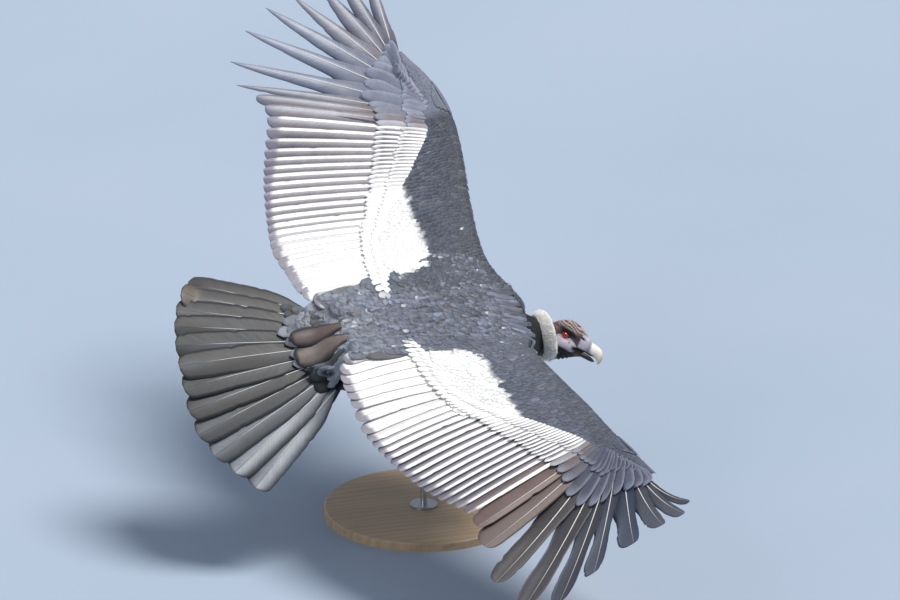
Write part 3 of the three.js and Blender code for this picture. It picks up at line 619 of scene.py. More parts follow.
def feather_material(name, roughness=0.55, sheen=0.25, strength=0.35, contrast=0.35):
    """Barbs run out from the shaft towards the tip. Their lines drive the colour and the relief."""
    n = Nodes(name)
    barb = n.node("ShaderNodeSeparateXYZ", {0: n.attribute("barb").outputs["Vector"]})
    side = n.math("ABSOLUTE", barb.outputs[0])
    slant = n.math("MULTIPLY_ADD", side, -1.15, barb.outputs[1])
    lines = n.node(
        "ShaderNodeCombineXYZ",
        {0: n.math("MULTIPLY", slant, 0.22), 1: n.math("MULTIPLY", side, 0.03), 2: barb.outputs[2]},
    )
    streaks = n.noise(lines.outputs[0], 1.0, 4.0, 0.62)
    fine = n.node(
        "ShaderNodeCombineXYZ",
        {0: n.math("MULTIPLY", slant, 1.1), 1: n.math("MULTIPLY", side, 0.06), 2: barb.outputs[2]},
    )
    hair = n.noise(fine.outputs[0], 1.0, 2.0, 0.5)
    place = n.node("ShaderNodeTexCoord").outputs["Object"]
    patches = n.noise(place, 17.0, 3.0, 0.6)
    gain = n.math("MULTIPLY_ADD", n.math("SUBTRACT", streaks, 0.5), contrast * 2.2, 1.0)
    gain = n.math("MULTIPLY", gain, n.math("MULTIPLY_ADD", n.math("SUBTRACT", hair, 0.5), contrast, 1.0))
    broad = n.math("MULTIPLY_ADD", n.math("SUBTRACT", patches, 0.5), contrast * 1.6, 1.0)
    gain = n.math("MULTIPLY", gain, broad)
    colour = n.scaled(n.attribute("tone").outputs["Color"], gain)
    height = n.math("ADD", streaks, n.math("MULTIPLY", hair, 0.6))
    rough = n.math("MULTIPLY_ADD", n.math("SUBTRACT", streaks, 0.5), 0.3, roughness)
    return n.finish(
        colour,
        rough,
        height,
        strength,
        0.0006,
        Sheen_Weight=sheen,
        Sheen_Roughness=0.45,
        Sheen_Tint=(0.75, 0.84, 1.0, 1),
        Specular_IOR_Level=0.42,
    )


def shaft_material():
    n = Nodes("feather_shaft")
    place = n.node("ShaderNodeTexCoord").outputs["Object"]
    grain = n.noise(place, 160.0, 2.0)
    colour = n.scaled(n.attribute("tone").outputs["Color"], n.math("MULTIPLY_ADD", grain, 0.3, 0.85))
    return n.finish(colour, n.math("MULTIPLY_ADD", grain, 0.15, 0.28), grain, 0.15, 0.0003, Coat_Weight=0.2)


flight_look = feather_material("flight_feather", 0.5, 0.22, 0.4, 0.3)
covert_look = feather_material("wing_covert", 0.6, 0.3, 0.4, 0.34)
body_look = feather_material("body_feather", 0.66, 0.35, 0.45, 0.42)
shaft_look = shaft_material()

# Wings


def wing_lines(sign, shoulder, hand, slate):
    root = through(ARM_ROOTS + hand["roots"])
    lead = through(shoulder + ARM_LEAD + hand["lead"])
    tip = through(ARM_TIPS + hand["tips"])
    bow = through([[0, 7], [20, 5], [25, -hand["sag"]], [31, -hand["sag"]]])
    flip = np.array([1, sign, 1])

    def sheet(index, u):
        """Where the flight feathers lie: feather number, then 0 at the root to 1 at the tip."""
        index, u = np.broadcast_arrays(np.asarray(index, float), np.asarray(u, float))
        start, end = root(index), tip(index)
        point = start + (end - start) * u[..., None]
        point[..., 2] += 4 * u * (1 - u) * bow(index)[..., 0]
        return point * flip

    thickness = through(WING_THICKNESS)
    profiles = {1: through(FLESH_TOP), -1: through(FLESH_UNDER)}

    def flesh(index, along, face=1, shrink=0.0):
        index, along = np.broadcast_arrays(np.asarray(index, float), np.asarray(along, float))
        front, rear = lead(index) * flip, sheet(index, 0.06)
        point = front + (rear - front) * along[..., None]
        deep = thickness(index)[..., 0]
        point[..., 2] += profiles[face](along)[..., 0] * deep - face * shrink
        return point

    def depth(index):
        return np.linalg.norm(sheet(index, 0.06) - lead(index) * flip, axis=-1)

    def chord(index, distance, face=1):
        """A point this far behind the leading edge, over the flesh and then along the feathers."""
        index, distance = np.broadcast_arrays(np.asarray(index, float), np.asarray(distance, float))
        deep = depth(index)
        on_flesh = flesh(index, np.clip(distance / deep, 0, 1), face)
        length = np.linalg.norm(sheet(index, 1.0) - sheet(index, 0.0), axis=-1)
        past = np.maximum(distance - deep, 0)
        on_vane = sheet(index, 0.06 + past / length)
        on_vane[..., 2] += profiles[face](np.ones(1))[0, 0] * thickness(index)[..., 0] * np.exp(-past / 60)
        return np.where((distance < deep)[..., None], on_flesh, on_vane)

    return dict(
        hand, sign=sign, slate=slate, lead=lead, sheet=sheet, flesh=flesh, chord=chord, depth=depth, flip=flip
    )


# Each wing's front-band slate is painted light: the left one darker as painted shade, the right one lighter
# as painted sheen.
WINGS = {
    "left": wing_lines(1, LEFT_SHOULDER, LEFT_HAND, linear(50, 53, 64)),
    "right": wing_lines(-1, RIGHT_SHOULDER, RIGHT_HAND, linear(76, 80, 93)),
}


def frames(surface, index, u, roll, outward, least=0.3, reach=0.02):
    """Line, across and up of feathers that lie in a surface of (index, u). index is (N,), u is (N, R)."""
    i = index[:, None] * np.ones_like(u)
    line = surface(i, u)
    along = unit(surface(i, u + reach) - surface(i, u - reach))
    beyond = np.maximum(u, least)
    flat = (surface(i + 0.2, beyond) - surface(i - 0.2, beyond)) * np.reshape(outward, (-1, 1, 1))
    flat = unit(flat - along * (flat * along).sum(-1, keepdims=True))
    square = np.cross(flat, along)
    square *= np.sign(square[..., 2:3])
    turn = np.radians(roll * np.ones_like(u))[..., None]
    across = flat * np.cos(turn) + square * np.sin(turn)
    up = square * np.cos(turn) - flat * np.sin(turn)
    return line, across, up


def outline(u, start, full, fade, tip):
    """Share of full width along a vane: start at the root, full by there, rounded off past fade."""
    body = start + (1 - start) * step(0, full, u)
    end = np.sqrt(np.clip(1 - (np.clip(u - fade, 0, 1) / (1 - fade)) ** 2.4, 0, 1))
    return body * (tip + (1 - tip) * end)


def worn(u, seed):
    """How the edge of a long vane wavers, with a few notches where its barbs have parted."""
    edge = 1 + 0.025 * wobble(u * 19, seed)
    for k in range(3):
        place = (0.37 * k + 0.31 * seed) % 0.75 + 0.22
        edge -= (0.06 + 0.1 * ((seed * 7.7 + k) % 1)) * bell(u - place, 0.009)
    return edge


def left_hand_tone(i, u, v):
    """Blue-grey fingers painted silvery as painted sheen, with a painted highlight along the middle and a
    darker trailing edge.
    """
    # Painted sheen: the pale silvery greys of the fingers.
    base = mix(linear(118, 108, 110), linear(122, 126, 140), step(23.2, 24.8, i))
    base = mix(base, linear(122, 116, 122), step(27.6, 28.2, i) * (1 - step(28.8, 29.3, i)))
    base = mix(base, linear(112, 108, 118), step(29.3, 29.8, i))
    # Painted highlight: a bright band along the middle of each finger.
    base = mix(base, linear(208, 212, 222), 0.75 * bell(v - 0.05, 0.32) * step(0.3, 0.6, u))
    base = mix(base, linear(70, 80, 104), 0.85 * step(-0.35, -0.95, v))
    return mix(base, linear(96, 104, 124), 0.5 * step(0.9, 1, u))


def right_hand_tone(i, u, v):
    """Brown inner feathers, then dark grey fingers; the navy on the middle ones and the bluish trailing webs
    are a painted reflection of the sky.
    """
    base = mix(linear(98, 80, 74), linear(62, 58, 59), step(22.6, 24, i))
    base = mix(base, linear(42, 42, 48), step(24.6, 26, i))
    # Painted reflection of the sky: navy on the middle fingers, and bluish trailing webs on the outer ones
    # below.
    base = mix(base, linear(24, 38, 62), bell(i - 27.7, 0.9))
    base = mix(base, linear(58, 56, 66), step(28.6, 29, i))
    base = mix(base, linear(26, 28, 34), step(30.4, 31, i))
    base = mix(base, linear(34, 40, 58), 0.8 * step(-0.5, -0.95, v) * step(25.4, 26.4, i))
    # A paler patch on the trailing web near finger 24.
    pale_patch = 0.35 * bell(v + 0.45, 0.3) * bell(i - 24.4, 1.2) * step(0.5, 0.8, u)
    base = mix(base, linear(128, 122, 122), pale_patch)
    return mix(base, linear(96, 66, 50), 0.5 * bell(i - 22, 0.8) * step(-0.1, 0.3, v))


def remige_tone(index, hand_tone):
    """The markings of flight feathers: white outer webs and dark inner ones on the arm, dark on the hand. The
    inner webs darken towards their edges partly as painted shadow under the next feather, and a dark line
    along some outer webs is painted shadow too.
    """

    def tone(u, v):
        i, u, v = np.broadcast_arrays(index[:, None, None], u, v)
        whole = 1 - step(5, 9.5, i)
        ends = step(0.915, 0.955, u + 0.016 * np.sin(i * 12.9898) + 0.02 * whole * (v > 0))
        # The inner web goes from grey to dark towards its edge: partly its own dark colour, partly painted
        # shadow under the next feather.
        web = mix(WEB_GREY, WEB_DARK, step(-0.08, -0.45, v))
        web = mix(web, WHITE, whole * 0.96)
        arm = mix(web, WHITE, step(-0.07, 0.04, v))
        # Painted shadow: a dark line along the outer web's edge, under the next feather.
        arm = mix(arm, WEB_DARK, 0.45 * step(0.75, 1, v) * step(9, 15, i))
        arm = mix(arm, TIP_GREY, ends * 0.85)
        base = mix(arm, hand_tone(i, u, v), step(20.8, 22.2, i + 0.6 * (v < 0)))
        base = mix(base, SLATE, 1 - step(-1.6, -0.6, i))
        return base * (1 + 0.07 * np.sin(i * 7.3))[..., None]

    return tone


LONG = np.concatenate([np.linspace(0, 0.84, 25), 1 - 0.16 * (1 - np.linspace(0.12, 1, 10)) ** 1.5])
VANE_COLUMNS = np.array([1, 0.75, 0.42, 0.16, 0.03, -0.05, -0.22, -0.45, -0.74, -1])


def strips(n):
    """A map strip of its own for each of n long feathers."""
    left = np.arange(n) / n
    return np.stack([left + 0.003, np.full(n, 0.01), left + 1 / n - 0.003, np.full(n, 0.99)], 1)


def flight_feathers(name, wing, low, high, nodes):
    index = np.arange(low, high).astype(float)
    n = len(index)
    u = np.tile(LONG, (n, 1))
    separate = (index >= FIRST_FINGER)[:, None]
    twist = through([[0, 0], [23, 0], [26, wing["twist"]], [31, wing["twist"]]])(index)
    roll = through(ROLL)(index) + twist * step(0.5, 0.85, u)
    line, across, up = frames(wing["sheet"], index, u, roll, 1.0)
    webs = through(WEBS)(index) * np.where(separate, through(wing["breadth"])(index), 1)
    finger = through(wing["finger"])(u)[..., 0]
    shape = np.where(separate, finger, outline(u, 0.25, 0.24, 0.88, 0.1))
    lead = webs[:, :1] * shape * np.stack([worn(LONG, k * 1.7) for k in index])
    trail = webs[:, 1:] * shape * np.stack([worn(LONG, k * 2.9 + 5) for k in index])
    hand_tone = left_hand_tone if wing["sign"] > 0 else right_hand_tone
    coat = Coat()
    places = strips(n)
    coat.vanes(line, across, up, lead, trail, remige_tone(index, hand_tone), places, VANE_COLUMNS, 0.7, 0.1)
    thick = np.where(separate, 1.9, 1.25) * (1.05 - 0.8 * u)
    pale = mix(IVORY, linear(150, 146, 146), step(0.5, 1, u))
    coat.tubes(line + up * 0.4, across, up, thick, thick * 0.8, pale, places, 6, 1)
    return coat.build(name, [flight_look, shaft_look], nodes)


for side, wing in WINGS.items():
    flight_feathers(f"secondaries_{side}", wing, INNERMOST, 22, [f"wing_{side}_arm"])
    flight_feathers(f"primaries_{side}", wing, 22, FEATHERS, [f"wing_{side}_hand"])

# Where the white of the wing begins behind the leading edge, by how far out on the wing.
WHITE_FRONT = through([[100, 70], [160, 98], [421, 117], [560, 138], [624, 142], [680, 150]])
# Where the dark feathers of the back end and the white begins, by how far forward.
SADDLE_EDGE = through(
    [[-260, 96], [-200, 110], [-115, 117], [-54, 128], [19, 142], [84, 158], [112, 176], [150, 230]]
)

SMALL = np.array([0, 0.2, 0.45, 0.7, 0.9, 1.0])
SMALL_COLUMNS = np.array([1, 0.02, -1])
WIDE_COLUMNS = np.array([1, 0.55, 0.03, -0.5, -1])
COVERT_COLUMNS = np.array([1, 0.5, 0.1, -0.1, -0.5, -1])


def small_tone(colour, edge):
    """Each small feather is paler or darker towards its rim. The colours are (N, 3) or (N, R, 3)."""
    colour, edge = (c[:, None, None] if c.ndim == 2 else c[:, :, None] for c in (colour, edge))

    def tone(u, v):
        rim = np.maximum(step(0.72, 1, u), 0.8 * step(0.6, 1, np.abs(v)))
        return mix(colour, edge, rim)

    return tone


def white_share(points, index, jitter):
    """1 in the white of the upper wing, 0 in its slate front band, over the back and on the hand."""
    x, y = points[..., 0], np.abs(points[..., 1])
    share = step(-7, 7, WHITE_FRONT(y)[..., 0] - x + jitter) * (1 - step(20.2, 21.8, index))
    return share * step(-6, 6, y - SADDLE_EDGE(np.minimum(x, 112))[..., 0] + jitter)


def chord_feathers(coat, wing, index, back, size, paint, face=1):
    """Feathers over the wing, rooted this far behind its leading edge. paint gives their two colours."""
    t = SMALL[None] * np.ones((len(index), 1))
    distance = back[:, None] + size[:, None] * t
    i = index[:, None] * np.ones_like(t)
    line = wing["chord"](i, distance, face)
    along = unit(wing["chord"](i, distance + 3, face) - line)
    flat = wing["chord"](i + 0.25, distance, face) - wing["chord"](i - 0.25, distance, face)
    flat = unit(flat - along * (flat * along).sum(-1, keepdims=True))
    up = np.cross(flat, along)
    up *= np.sign(up[..., 2:3]) * face
    across = flat * math.cos(0.05) + up * math.sin(0.05)
    line = line + up * (size[:, None] * 0.035 * t)[..., None]
    width = size[:, None] * 0.3 * outline(t, 0.5, 0.45, 0.42, 0.08)
    base = np.stack([(index + 4) / 37, 0.04 + 0.9 * np.clip((back + size) / 700, 0, 1)], 1)
    coat.vanes(line, across, up, width, width, small_tone(*paint(line, i)), base, SMALL_COLUMNS, 0.4, 0.08)


def hand_slate(wing):
    """The coverts of the hand: painted sheen makes them silvery on the left one; darker on the right."""
    return linear(124, 127, 142) if wing["sign"] > 0 else linear(72, 74, 90)


def long_coverts(coat, wing, index, start, reach, half, lift):
    """A tier of long coverts over the flight feathers, white on the arm and slate on the hand."""
    n = len(index)
    t = np.array([0, 0.15, 0.35, 0.55, 0.75, 0.87, 0.95, 1.0])[None] * np.ones((n, 1))
    start = np.where(index < 21.9, start, 0.0)[:, None]
    u = start + (reach[:, None] - start) * t
    line, across, up = frames(wing["sheet"], index, u, through(ROLL)(index), 1.0)
    line = line + up * (lift[0] + (lift[1] - lift[0]) * t)[..., None]
    width = half[:, None] * outline(t, 0.5, 0.4, 0.52, 0.12)
    white = (1 - step(20.6, 21.8, index)) * step(-1.8, -1.0, index)
    on_hand = hand_slate(wing)
    brown = bell(index - 22, 1.0) * 0.7
    slate = mix(on_hand, linear(104, 88, 84), brown) * (1 + draw.normal(0, 0.07, (n, 1)))
    colour = mix(slate, WHITE, white)
    edge = mix(colour, mix(SLATE_PALE, WHITE, white), 0.5 + 0.2 * (wing["sign"] > 0))
    striped = (step(10, 17.5, index) * white)[:, None, None]

    def tone(u, v):
        base = small_tone(colour, edge)(u, v)
        return mix(base, WEB_DARK * 1.2, striped * step(0.3, 0.0, v) * step(0.99, 0.9, u))

    base = np.stack([(index + 4) / 37, 0.5 + lift[1] / 200 + 0 * index], 1)
    coat.vanes(line, across, up, width, width * 1.1, tone, base, COVERT_COLUMNS, 0.6, 0.12)


def upper_coverts(side, wing):
    coat = Coat()
    index = np.concatenate([np.arange(INNERMOST, 21.8, 0.6), np.arange(22.1, 31.2, 0.9)])
    reach = through(COVERT_REACH)(index)[:, 0] * (1 + draw.normal(0, 0.025, len(index)))
    half = through([[-2, 14], [8, 12], [20, 10], [22, 16], [27, 21], [31, 17]])(index)[:, 0]
    long_coverts(coat, wing, index, -0.1, reach, half, (4, 6.5))
    index = np.concatenate([np.arange(INNERMOST, 21.6, 0.5), np.arange(21.9, 31.4, 0.62)])
    spread = 1 + draw.normal(0, 0.05, len(index))
    shorter = through([[0, 0.62], [20, 0.55], [24, 0.42], [31, 0.3]])(index)[:, 0]
    reach = spread * through(COVERT_REACH)(index)[:, 0] * shorter
    half = through([[-2, 11], [20, 9], [24, 12], [31, 11]])(index)[:, 0]
    long_coverts(coat, wing, index, -0.12, reach, half, (5, 8))
    # Rows of shorter ones from there up to the leading edge.
    on_hand = hand_slate(wing)
    rows = [0.0]
    while rows[-1] < 236:
        rows.append(rows[-1] + 6 + 6 * min(rows[-1] / 90, 1.25))
    for rank, back in enumerate(rows[::-1]):
        grain = 7.5 + 6 * min(back / 110, 1)
        i = INNERMOST - 0.6
        places = []
        while i < 31.2:
            span = np.linalg.norm(wing["chord"](i + 0.25, back) - wing["chord"](i - 0.25, back)) * 2
            i += grain / max(span, 6)
            places.append(i - (rank % 2) * 0.5 * grain / max(span, 6))
        index = np.array(places)
        index = index + draw.normal(0, 0.05, len(index))
        keep = back < wing["depth"](index) + np.where(index < 26.5, 24, -8)
        index = index[keep]
        n = len(index)
        size = (22 + 22 * min(back / 130, 1)) * (1 + draw.normal(0, 0.12, n))
        here = back + draw.normal(0, 1.6, n)
        shade = np.exp(draw.normal(0, 0.24, n))[:, None, None]
        warm = (draw.random(n) < 0.12)[:, None] * 0.4
        jitter = draw.normal(0, 4, n)[:, None]
        fleck = (draw.random(n) < (0.008 if wing["sign"] < 0 else 0.003))[:, None]
        dark = (0.45 + 0.55 * min(back / 45, 1)) * wing["slate"]

        def paint(points, i):
            white = white_share(points, i, jitter)
            slate = mix(dark, linear(104, 98, 94), warm * np.ones_like(white)) * shade
            to_white = WHITE_FRONT(np.abs(points[..., 1]))[..., 0] - points[..., 0]
            slate = mix(slate, SLATE_DARK, 0.55 * bell(to_white, 9))
            slate = mix(slate, on_hand, 0.75 * step(21.8, 23.6, i))
            pale = WHITE * (1 + 0.03 * (shade - 1))
            rim = mix(mix(slate, SLATE_PALE, np.full(white.shape, 0.22)), WHITE, white)
            rim = mix(rim, WHITE, fleck * (1 - white) * 0.9)
            return slate + (pale - slate) * white[..., None], rim

        chord_feathers(coat, wing, index, here, size, paint)
    # Stiff thumb feathers lie along the leading edge of the hand.
    thumb = np.arange(4.0)[:, None]
    t = np.linspace(0, 1, 9)[None] * np.ones((4, 1))
    i = 22.4 + 0.3 * thumb + (4.4 - 0.8 * thumb) * t
    distance = (5 + 7 * thumb) * (1 - 0.3 * t)
    line = wing["chord"](i, distance)
    along = unit(np.gradient(line, axis=1))
    flat = wing["chord"](i, distance + 4) - wing["chord"](i, distance - 4)
    up = np.cross(flat, along)
    up = unit(up * np.sign(up[..., 2:3]))
    line = line + up * 2.5
    width = 9 * outline(t, 0.5, 0.4, 0.5, 0.1)
    colour = np.tile(mix(wing["slate"], on_hand, np.array([0.6])), (4, 1))
    tone = small_tone(colour, mix(colour, SLATE_PALE, np.full(4, 0.5)))
    base = np.stack([(26 + thumb[:, 0]) / 37, 0.02 + 0 * thumb[:, 0]], 1)
    coat.vanes(line, np.cross(up, along), up, width, width, tone, base, WIDE_COLUMNS, 0.5, 0.12)
    return coat.build(f"coverts_{side}", [covert_look])


def under_coverts(side, wing):
    coat = Coat()
    rows = [4, 18, 34, 52, 72, 94, 118, 144, 172, 202]
    for rank, back in enumerate(rows[::-1]):
        index = np.arange(INNERMOST - 0.5, 31, 1.05) + (0.5 if rank % 2 else 0)
        index = index[back < wing["depth"](index) + 40]
        n = len(index)
        size = (40 + 12 * back / 100) * (1 + draw.normal(0, 0.06, n))
        colour = mix(BLACK, SLATE_DARK, np.clip(draw.normal(0.6, 0.3, n), 0, 1))
        edge = mix(colour, SLATE, np.full(n, 0.3))
        chord_feathers(coat, wing, index, np.full(n, float(back)), size, lambda line, i: (colour, edge), -1)
    return coat.build(f"under_coverts_{side}", [covert_look])


for side, wing in WINGS.items():
    upper_coverts(side, wing)
    under_coverts(side, wing)

# Tail


def tail_sheet(index, u):
    index, u = np.broadcast_arrays(np.asarray(index, float), np.asarray(u, float))
    share = 2 * index / (TAIL_FEATHERS - 1)
    angle = TAIL_HALF_FAN * share
    length = TAIL_LENGTH * (1 - 0.12 * share**2 + 0.085 * bell(share + 0.5, 0.35))
    x = 16 * share**2 - u * length * np.cos(angle)
    y = TAIL_ROOT_SPREAD * share + u * length * np.sin(angle)
    sag = TAIL_SAG * share**2 + TAIL_TURN * np.clip(0.55 - share, 0, 1.2)
    z = TAIL_RISE * u * (1.35 - 0.35 * u) + TAIL_TILT * y - sag * u
    return TAIL_ROOT + np.stack([x, y, z], -1)


def tail_tone(index):
    """Dark greenish grey, lightened to the right and striped silvery on one feather as painted sheen, with
    dark edges, roots darkened as painted shade, and a rusty corner on the left.
    """

    def tone(u, v):
        i, u, v = np.broadcast_arrays(index[:, None, None], u, v)
        base = mix(TAIL_GREY, linear(56, 52, 50), np.clip(0.5 + 0.5 * np.sin(i * 3.7), 0, 1) * 0.6)
        # Painted sheen lightens the right-hand feathers.
        base = mix(base, linear(142, 146, 152), step(-1.5, -5, i) * (0.55 + 0.3 * np.sin(v * 3 + i)))
        # Painted highlight: a silvery stripe along one feather.
        silver = bell(i + 5, 0.8) * bell(v - 0.25, 0.22) * step(0.2, 0.5, u) * 0.8
        base = mix(base, linear(206, 206, 208), silver)
        base = mix(base, linear(78, 74, 70), step(3, 5, i) * 0.6)
        base = mix(base, linear(116, 98, 80), bell(i - 4.5, 0.45) * bell(u - 0.92, 0.07) * 0.65)
        base = mix(base, linear(70, 52, 44), bell(i - 4.5, 0.45) * step(0.97, 1, u))
        base = mix(base, SLATE_PALE, 0.14 * bell(v + 0.1, 0.3) * (0.5 + 0.5 * np.sin(u * 7 + i * 2)))
        # Darker edges, and darker roots as painted shade where the tail meets the rump.
        return mix(base, BLACK, 0.5 * step(0.55, 1, np.abs(v)) + 0.3 * (1 - step(0, 0.2, u)))

    return tone


def tail():
    index = np.arange(TAIL_FEATHERS) - (TAIL_FEATHERS - 1) / 2
    n = len(index)
    u = np.tile(LONG, (n, 1))
    roll = np.where(index == 0.5, 0.0, 8.0)[:, None]
    line, across, up = frames(tail_sheet, index, u, roll, np.sign(index))
    line = line + up * np.where(index == 0.5, 2.5, 0.0)[:, None, None]
    # The outermost left feather has curled away from the next one.
    curl = step(0.86, 1, u) * (bell(index - 4.5, 0.3) * 14 - bell(index - 5.5, 0.3) * 3)[:, None]
    line = line + up * curl[..., None]
    shape = through(TAIL_VANE)(u)[..., 0]
    lead = 35 * shape * np.stack([worn(LONG, 40 + k * 2.3) for k in index])
    trail = 41 * shape * np.stack([worn(LONG, 70 + k * 3.1) for k in index])
    coat = Coat()
    coat.vanes(line, across, up, lead, trail, tail_tone(index), strips(n), VANE_COLUMNS, 0.7, 0.1)
    thick = 1.25 - 0.95 * u
    pale = mix(linear(214, 212, 208), TAIL_GREY, step(0.62, 0.92, u))
    coat.tubes(line + up * 0.5, across, up, thick, thick * 0.8, pale, strips(n), 6, 1)
    coat.build("tail_feathers", [flight_look, shaft_look], ["tail"])


tail()

# Skin


def torso_rings(grow, xs, sides):
    section = through(TORSO)(xs)
    turn = 2 * np.pi * np.arange(sides) / sides
    middle, half, rise, drop = (section[:, k : k + 1] for k in range(4))
    height = np.maximum(np.where(np.cos(turn) > 0, rise, drop) + grow, 3)
    y = np.maximum(half + grow, 4) * np.sin(turn)
    return np.stack([xs[:, None] * np.ones(sides), y, middle + height * np.cos(turn)], -1)


def tube_rings(way, sides):
    """Rings round a path of [x, y, z, radius]."""
    along = unit(np.gradient(way[:, :3], axis=0))
    side = unit(np.cross(along, [0, 0, 1.0]))
    up = np.cross(side, along)
    turn = 2 * np.pi * np.arange(sides) / sides
    radius = way[:, 3:4]
    return (
        way[:, None, :3]
        + side[:, None] * (radius * np.cos(turn))[..., None]
        + up[:, None] * (radius * np.sin(turn))[..., None]
    )


def limb_way(rows, steps=4):
    rows = np.array(rows, float)
    t = np.linspace(0, len(rows) - 1, (len(rows) - 1) * steps + 1)
    return through(np.c_[np.arange(len(rows)), rows])(t)


def mirrored(rows, sign):
    return [[x, y * sign, z, radius] for x, y, z, radius in rows]


def body_skin():
    solids = [loft("torso_form", torso_rings(-COAT_DEPTH, np.linspace(-246, 306, 48), 48))]
    along = np.array([0.02, 0.06, 0.14, 0.25, 0.4, 0.6, 0.8, 1.0])
    for wing in WINGS.values():
        rings = []
        for i in [-3, -1.5, 0, 2.5, 5, 8, 11, 14, 17, 20, 22.5, 25, 27.5, 30, 31.3]:
            shrink = min(3.0, 0.1 * through(WING_THICKNESS)(np.array([i]))[0, 0])
            top = wing["flesh"](np.full(8, i), along, 1, shrink)
            low = wing["flesh"](np.full(8, i), along[::-1], -1, shrink)
            rings.append(np.concatenate([top, low]))
        solids.append(loft("wing_form", rings))
    for sign in (1, -1):
        solids.append(loft("leg_form", tube_rings(limb_way(mirrored(LEG[:4], sign)), 12)))
    turn = 2 * np.pi * np.arange(20) / 20
    stump = []
    for x, half, high in TAIL_STUMP:
        y = half * np.sin(turn)
        stump.append(np.stack([np.full(20, x), y, TAIL_ROOT[2] + TAIL_TILT * y + high * np.cos(turn)], -1))
    solids.append(loft("tail_form", stump))
    solids.append(loft("collar_form", tube_rings(COLLAR, 28)))
    o = welded("skin_body", solids, 6.0, 4)
    local = points_of(o)
    # White under the white feathers, which start where the wing leaves the body.
    outer = white_share(local, np.zeros(len(local)), 0.0) * step(0, 0.3, normals_of(o)[:, 2])
    white = outer * step(596, 560, np.abs(local[:, 1])) * step(-150, -120, local[:, 0])
    # Near-black skin: where it shows between the feathers and in the bare hollow of the rump, it stands as
    # painted shade.
    tone = mix(np.tile(BLACK * 1.6, (len(local), 1)), WHITE * 0.9, white)
    put(o.data, "tone", "FLOAT_COLOR", "POINT", "color", np.c_[tone, np.ones(len(local))])
    set_points(o, to_world(local))
    n = Nodes("skin_under_feathers")
    place = n.node("ShaderNodeTexCoord").outputs["Object"]
    speckle = n.noise(place, 60.0, 4.0)
    colour = n.scaled(n.attribute("tone").outputs["Color"], n.math("MULTIPLY_ADD", speckle, 0.5, 0.7))
    o.data.materials.clear()
    o.data.materials.append(n.finish(colour, 0.8, speckle, 0.4, 0.001))
    shade_smooth(o)
    return finished(o, ["torso", "leg_left", "leg_right"])


body_skin()

# Body feathers


def over_feathers(coat, roots, lie, normals, length, half, tilt, colour, edge, base):
    """Feathers rooted at points with a direction of lie and a normal."""
    t = SMALL[None] * np.ones((len(roots), 1))
    lie = unit(lie - normals * (lie * normals).sum(-1, keepdims=True))
    bend = np.sin(tilt)[:, None] * t - 0.16 * t**2
    line = roots[:, None] + lie[:, None] * (length[:, None] * t)[..., None]
    line = line + normals[:, None] * (length[:, None] * bend - 2.0)[..., None]
    along = unit(np.gradient(line, axis=1))
    across = unit(np.cross(along, normals[:, None] * np.ones_like(line)))
    up = np.cross(across, along)
    turn = draw.normal(0, 0.06, (len(roots), 1, 1))
    across, up = across * np.cos(turn) + up * np.sin(turn), up * np.cos(turn) - across * np.sin(turn)
    width = half[:, None] * outline(t, 0.5, 0.45, 0.55, 0.3)
    coat.vanes(line, across, up, width, width, small_tone(colour, edge), base, SMALL_COLUMNS, 0.4, 0.1)


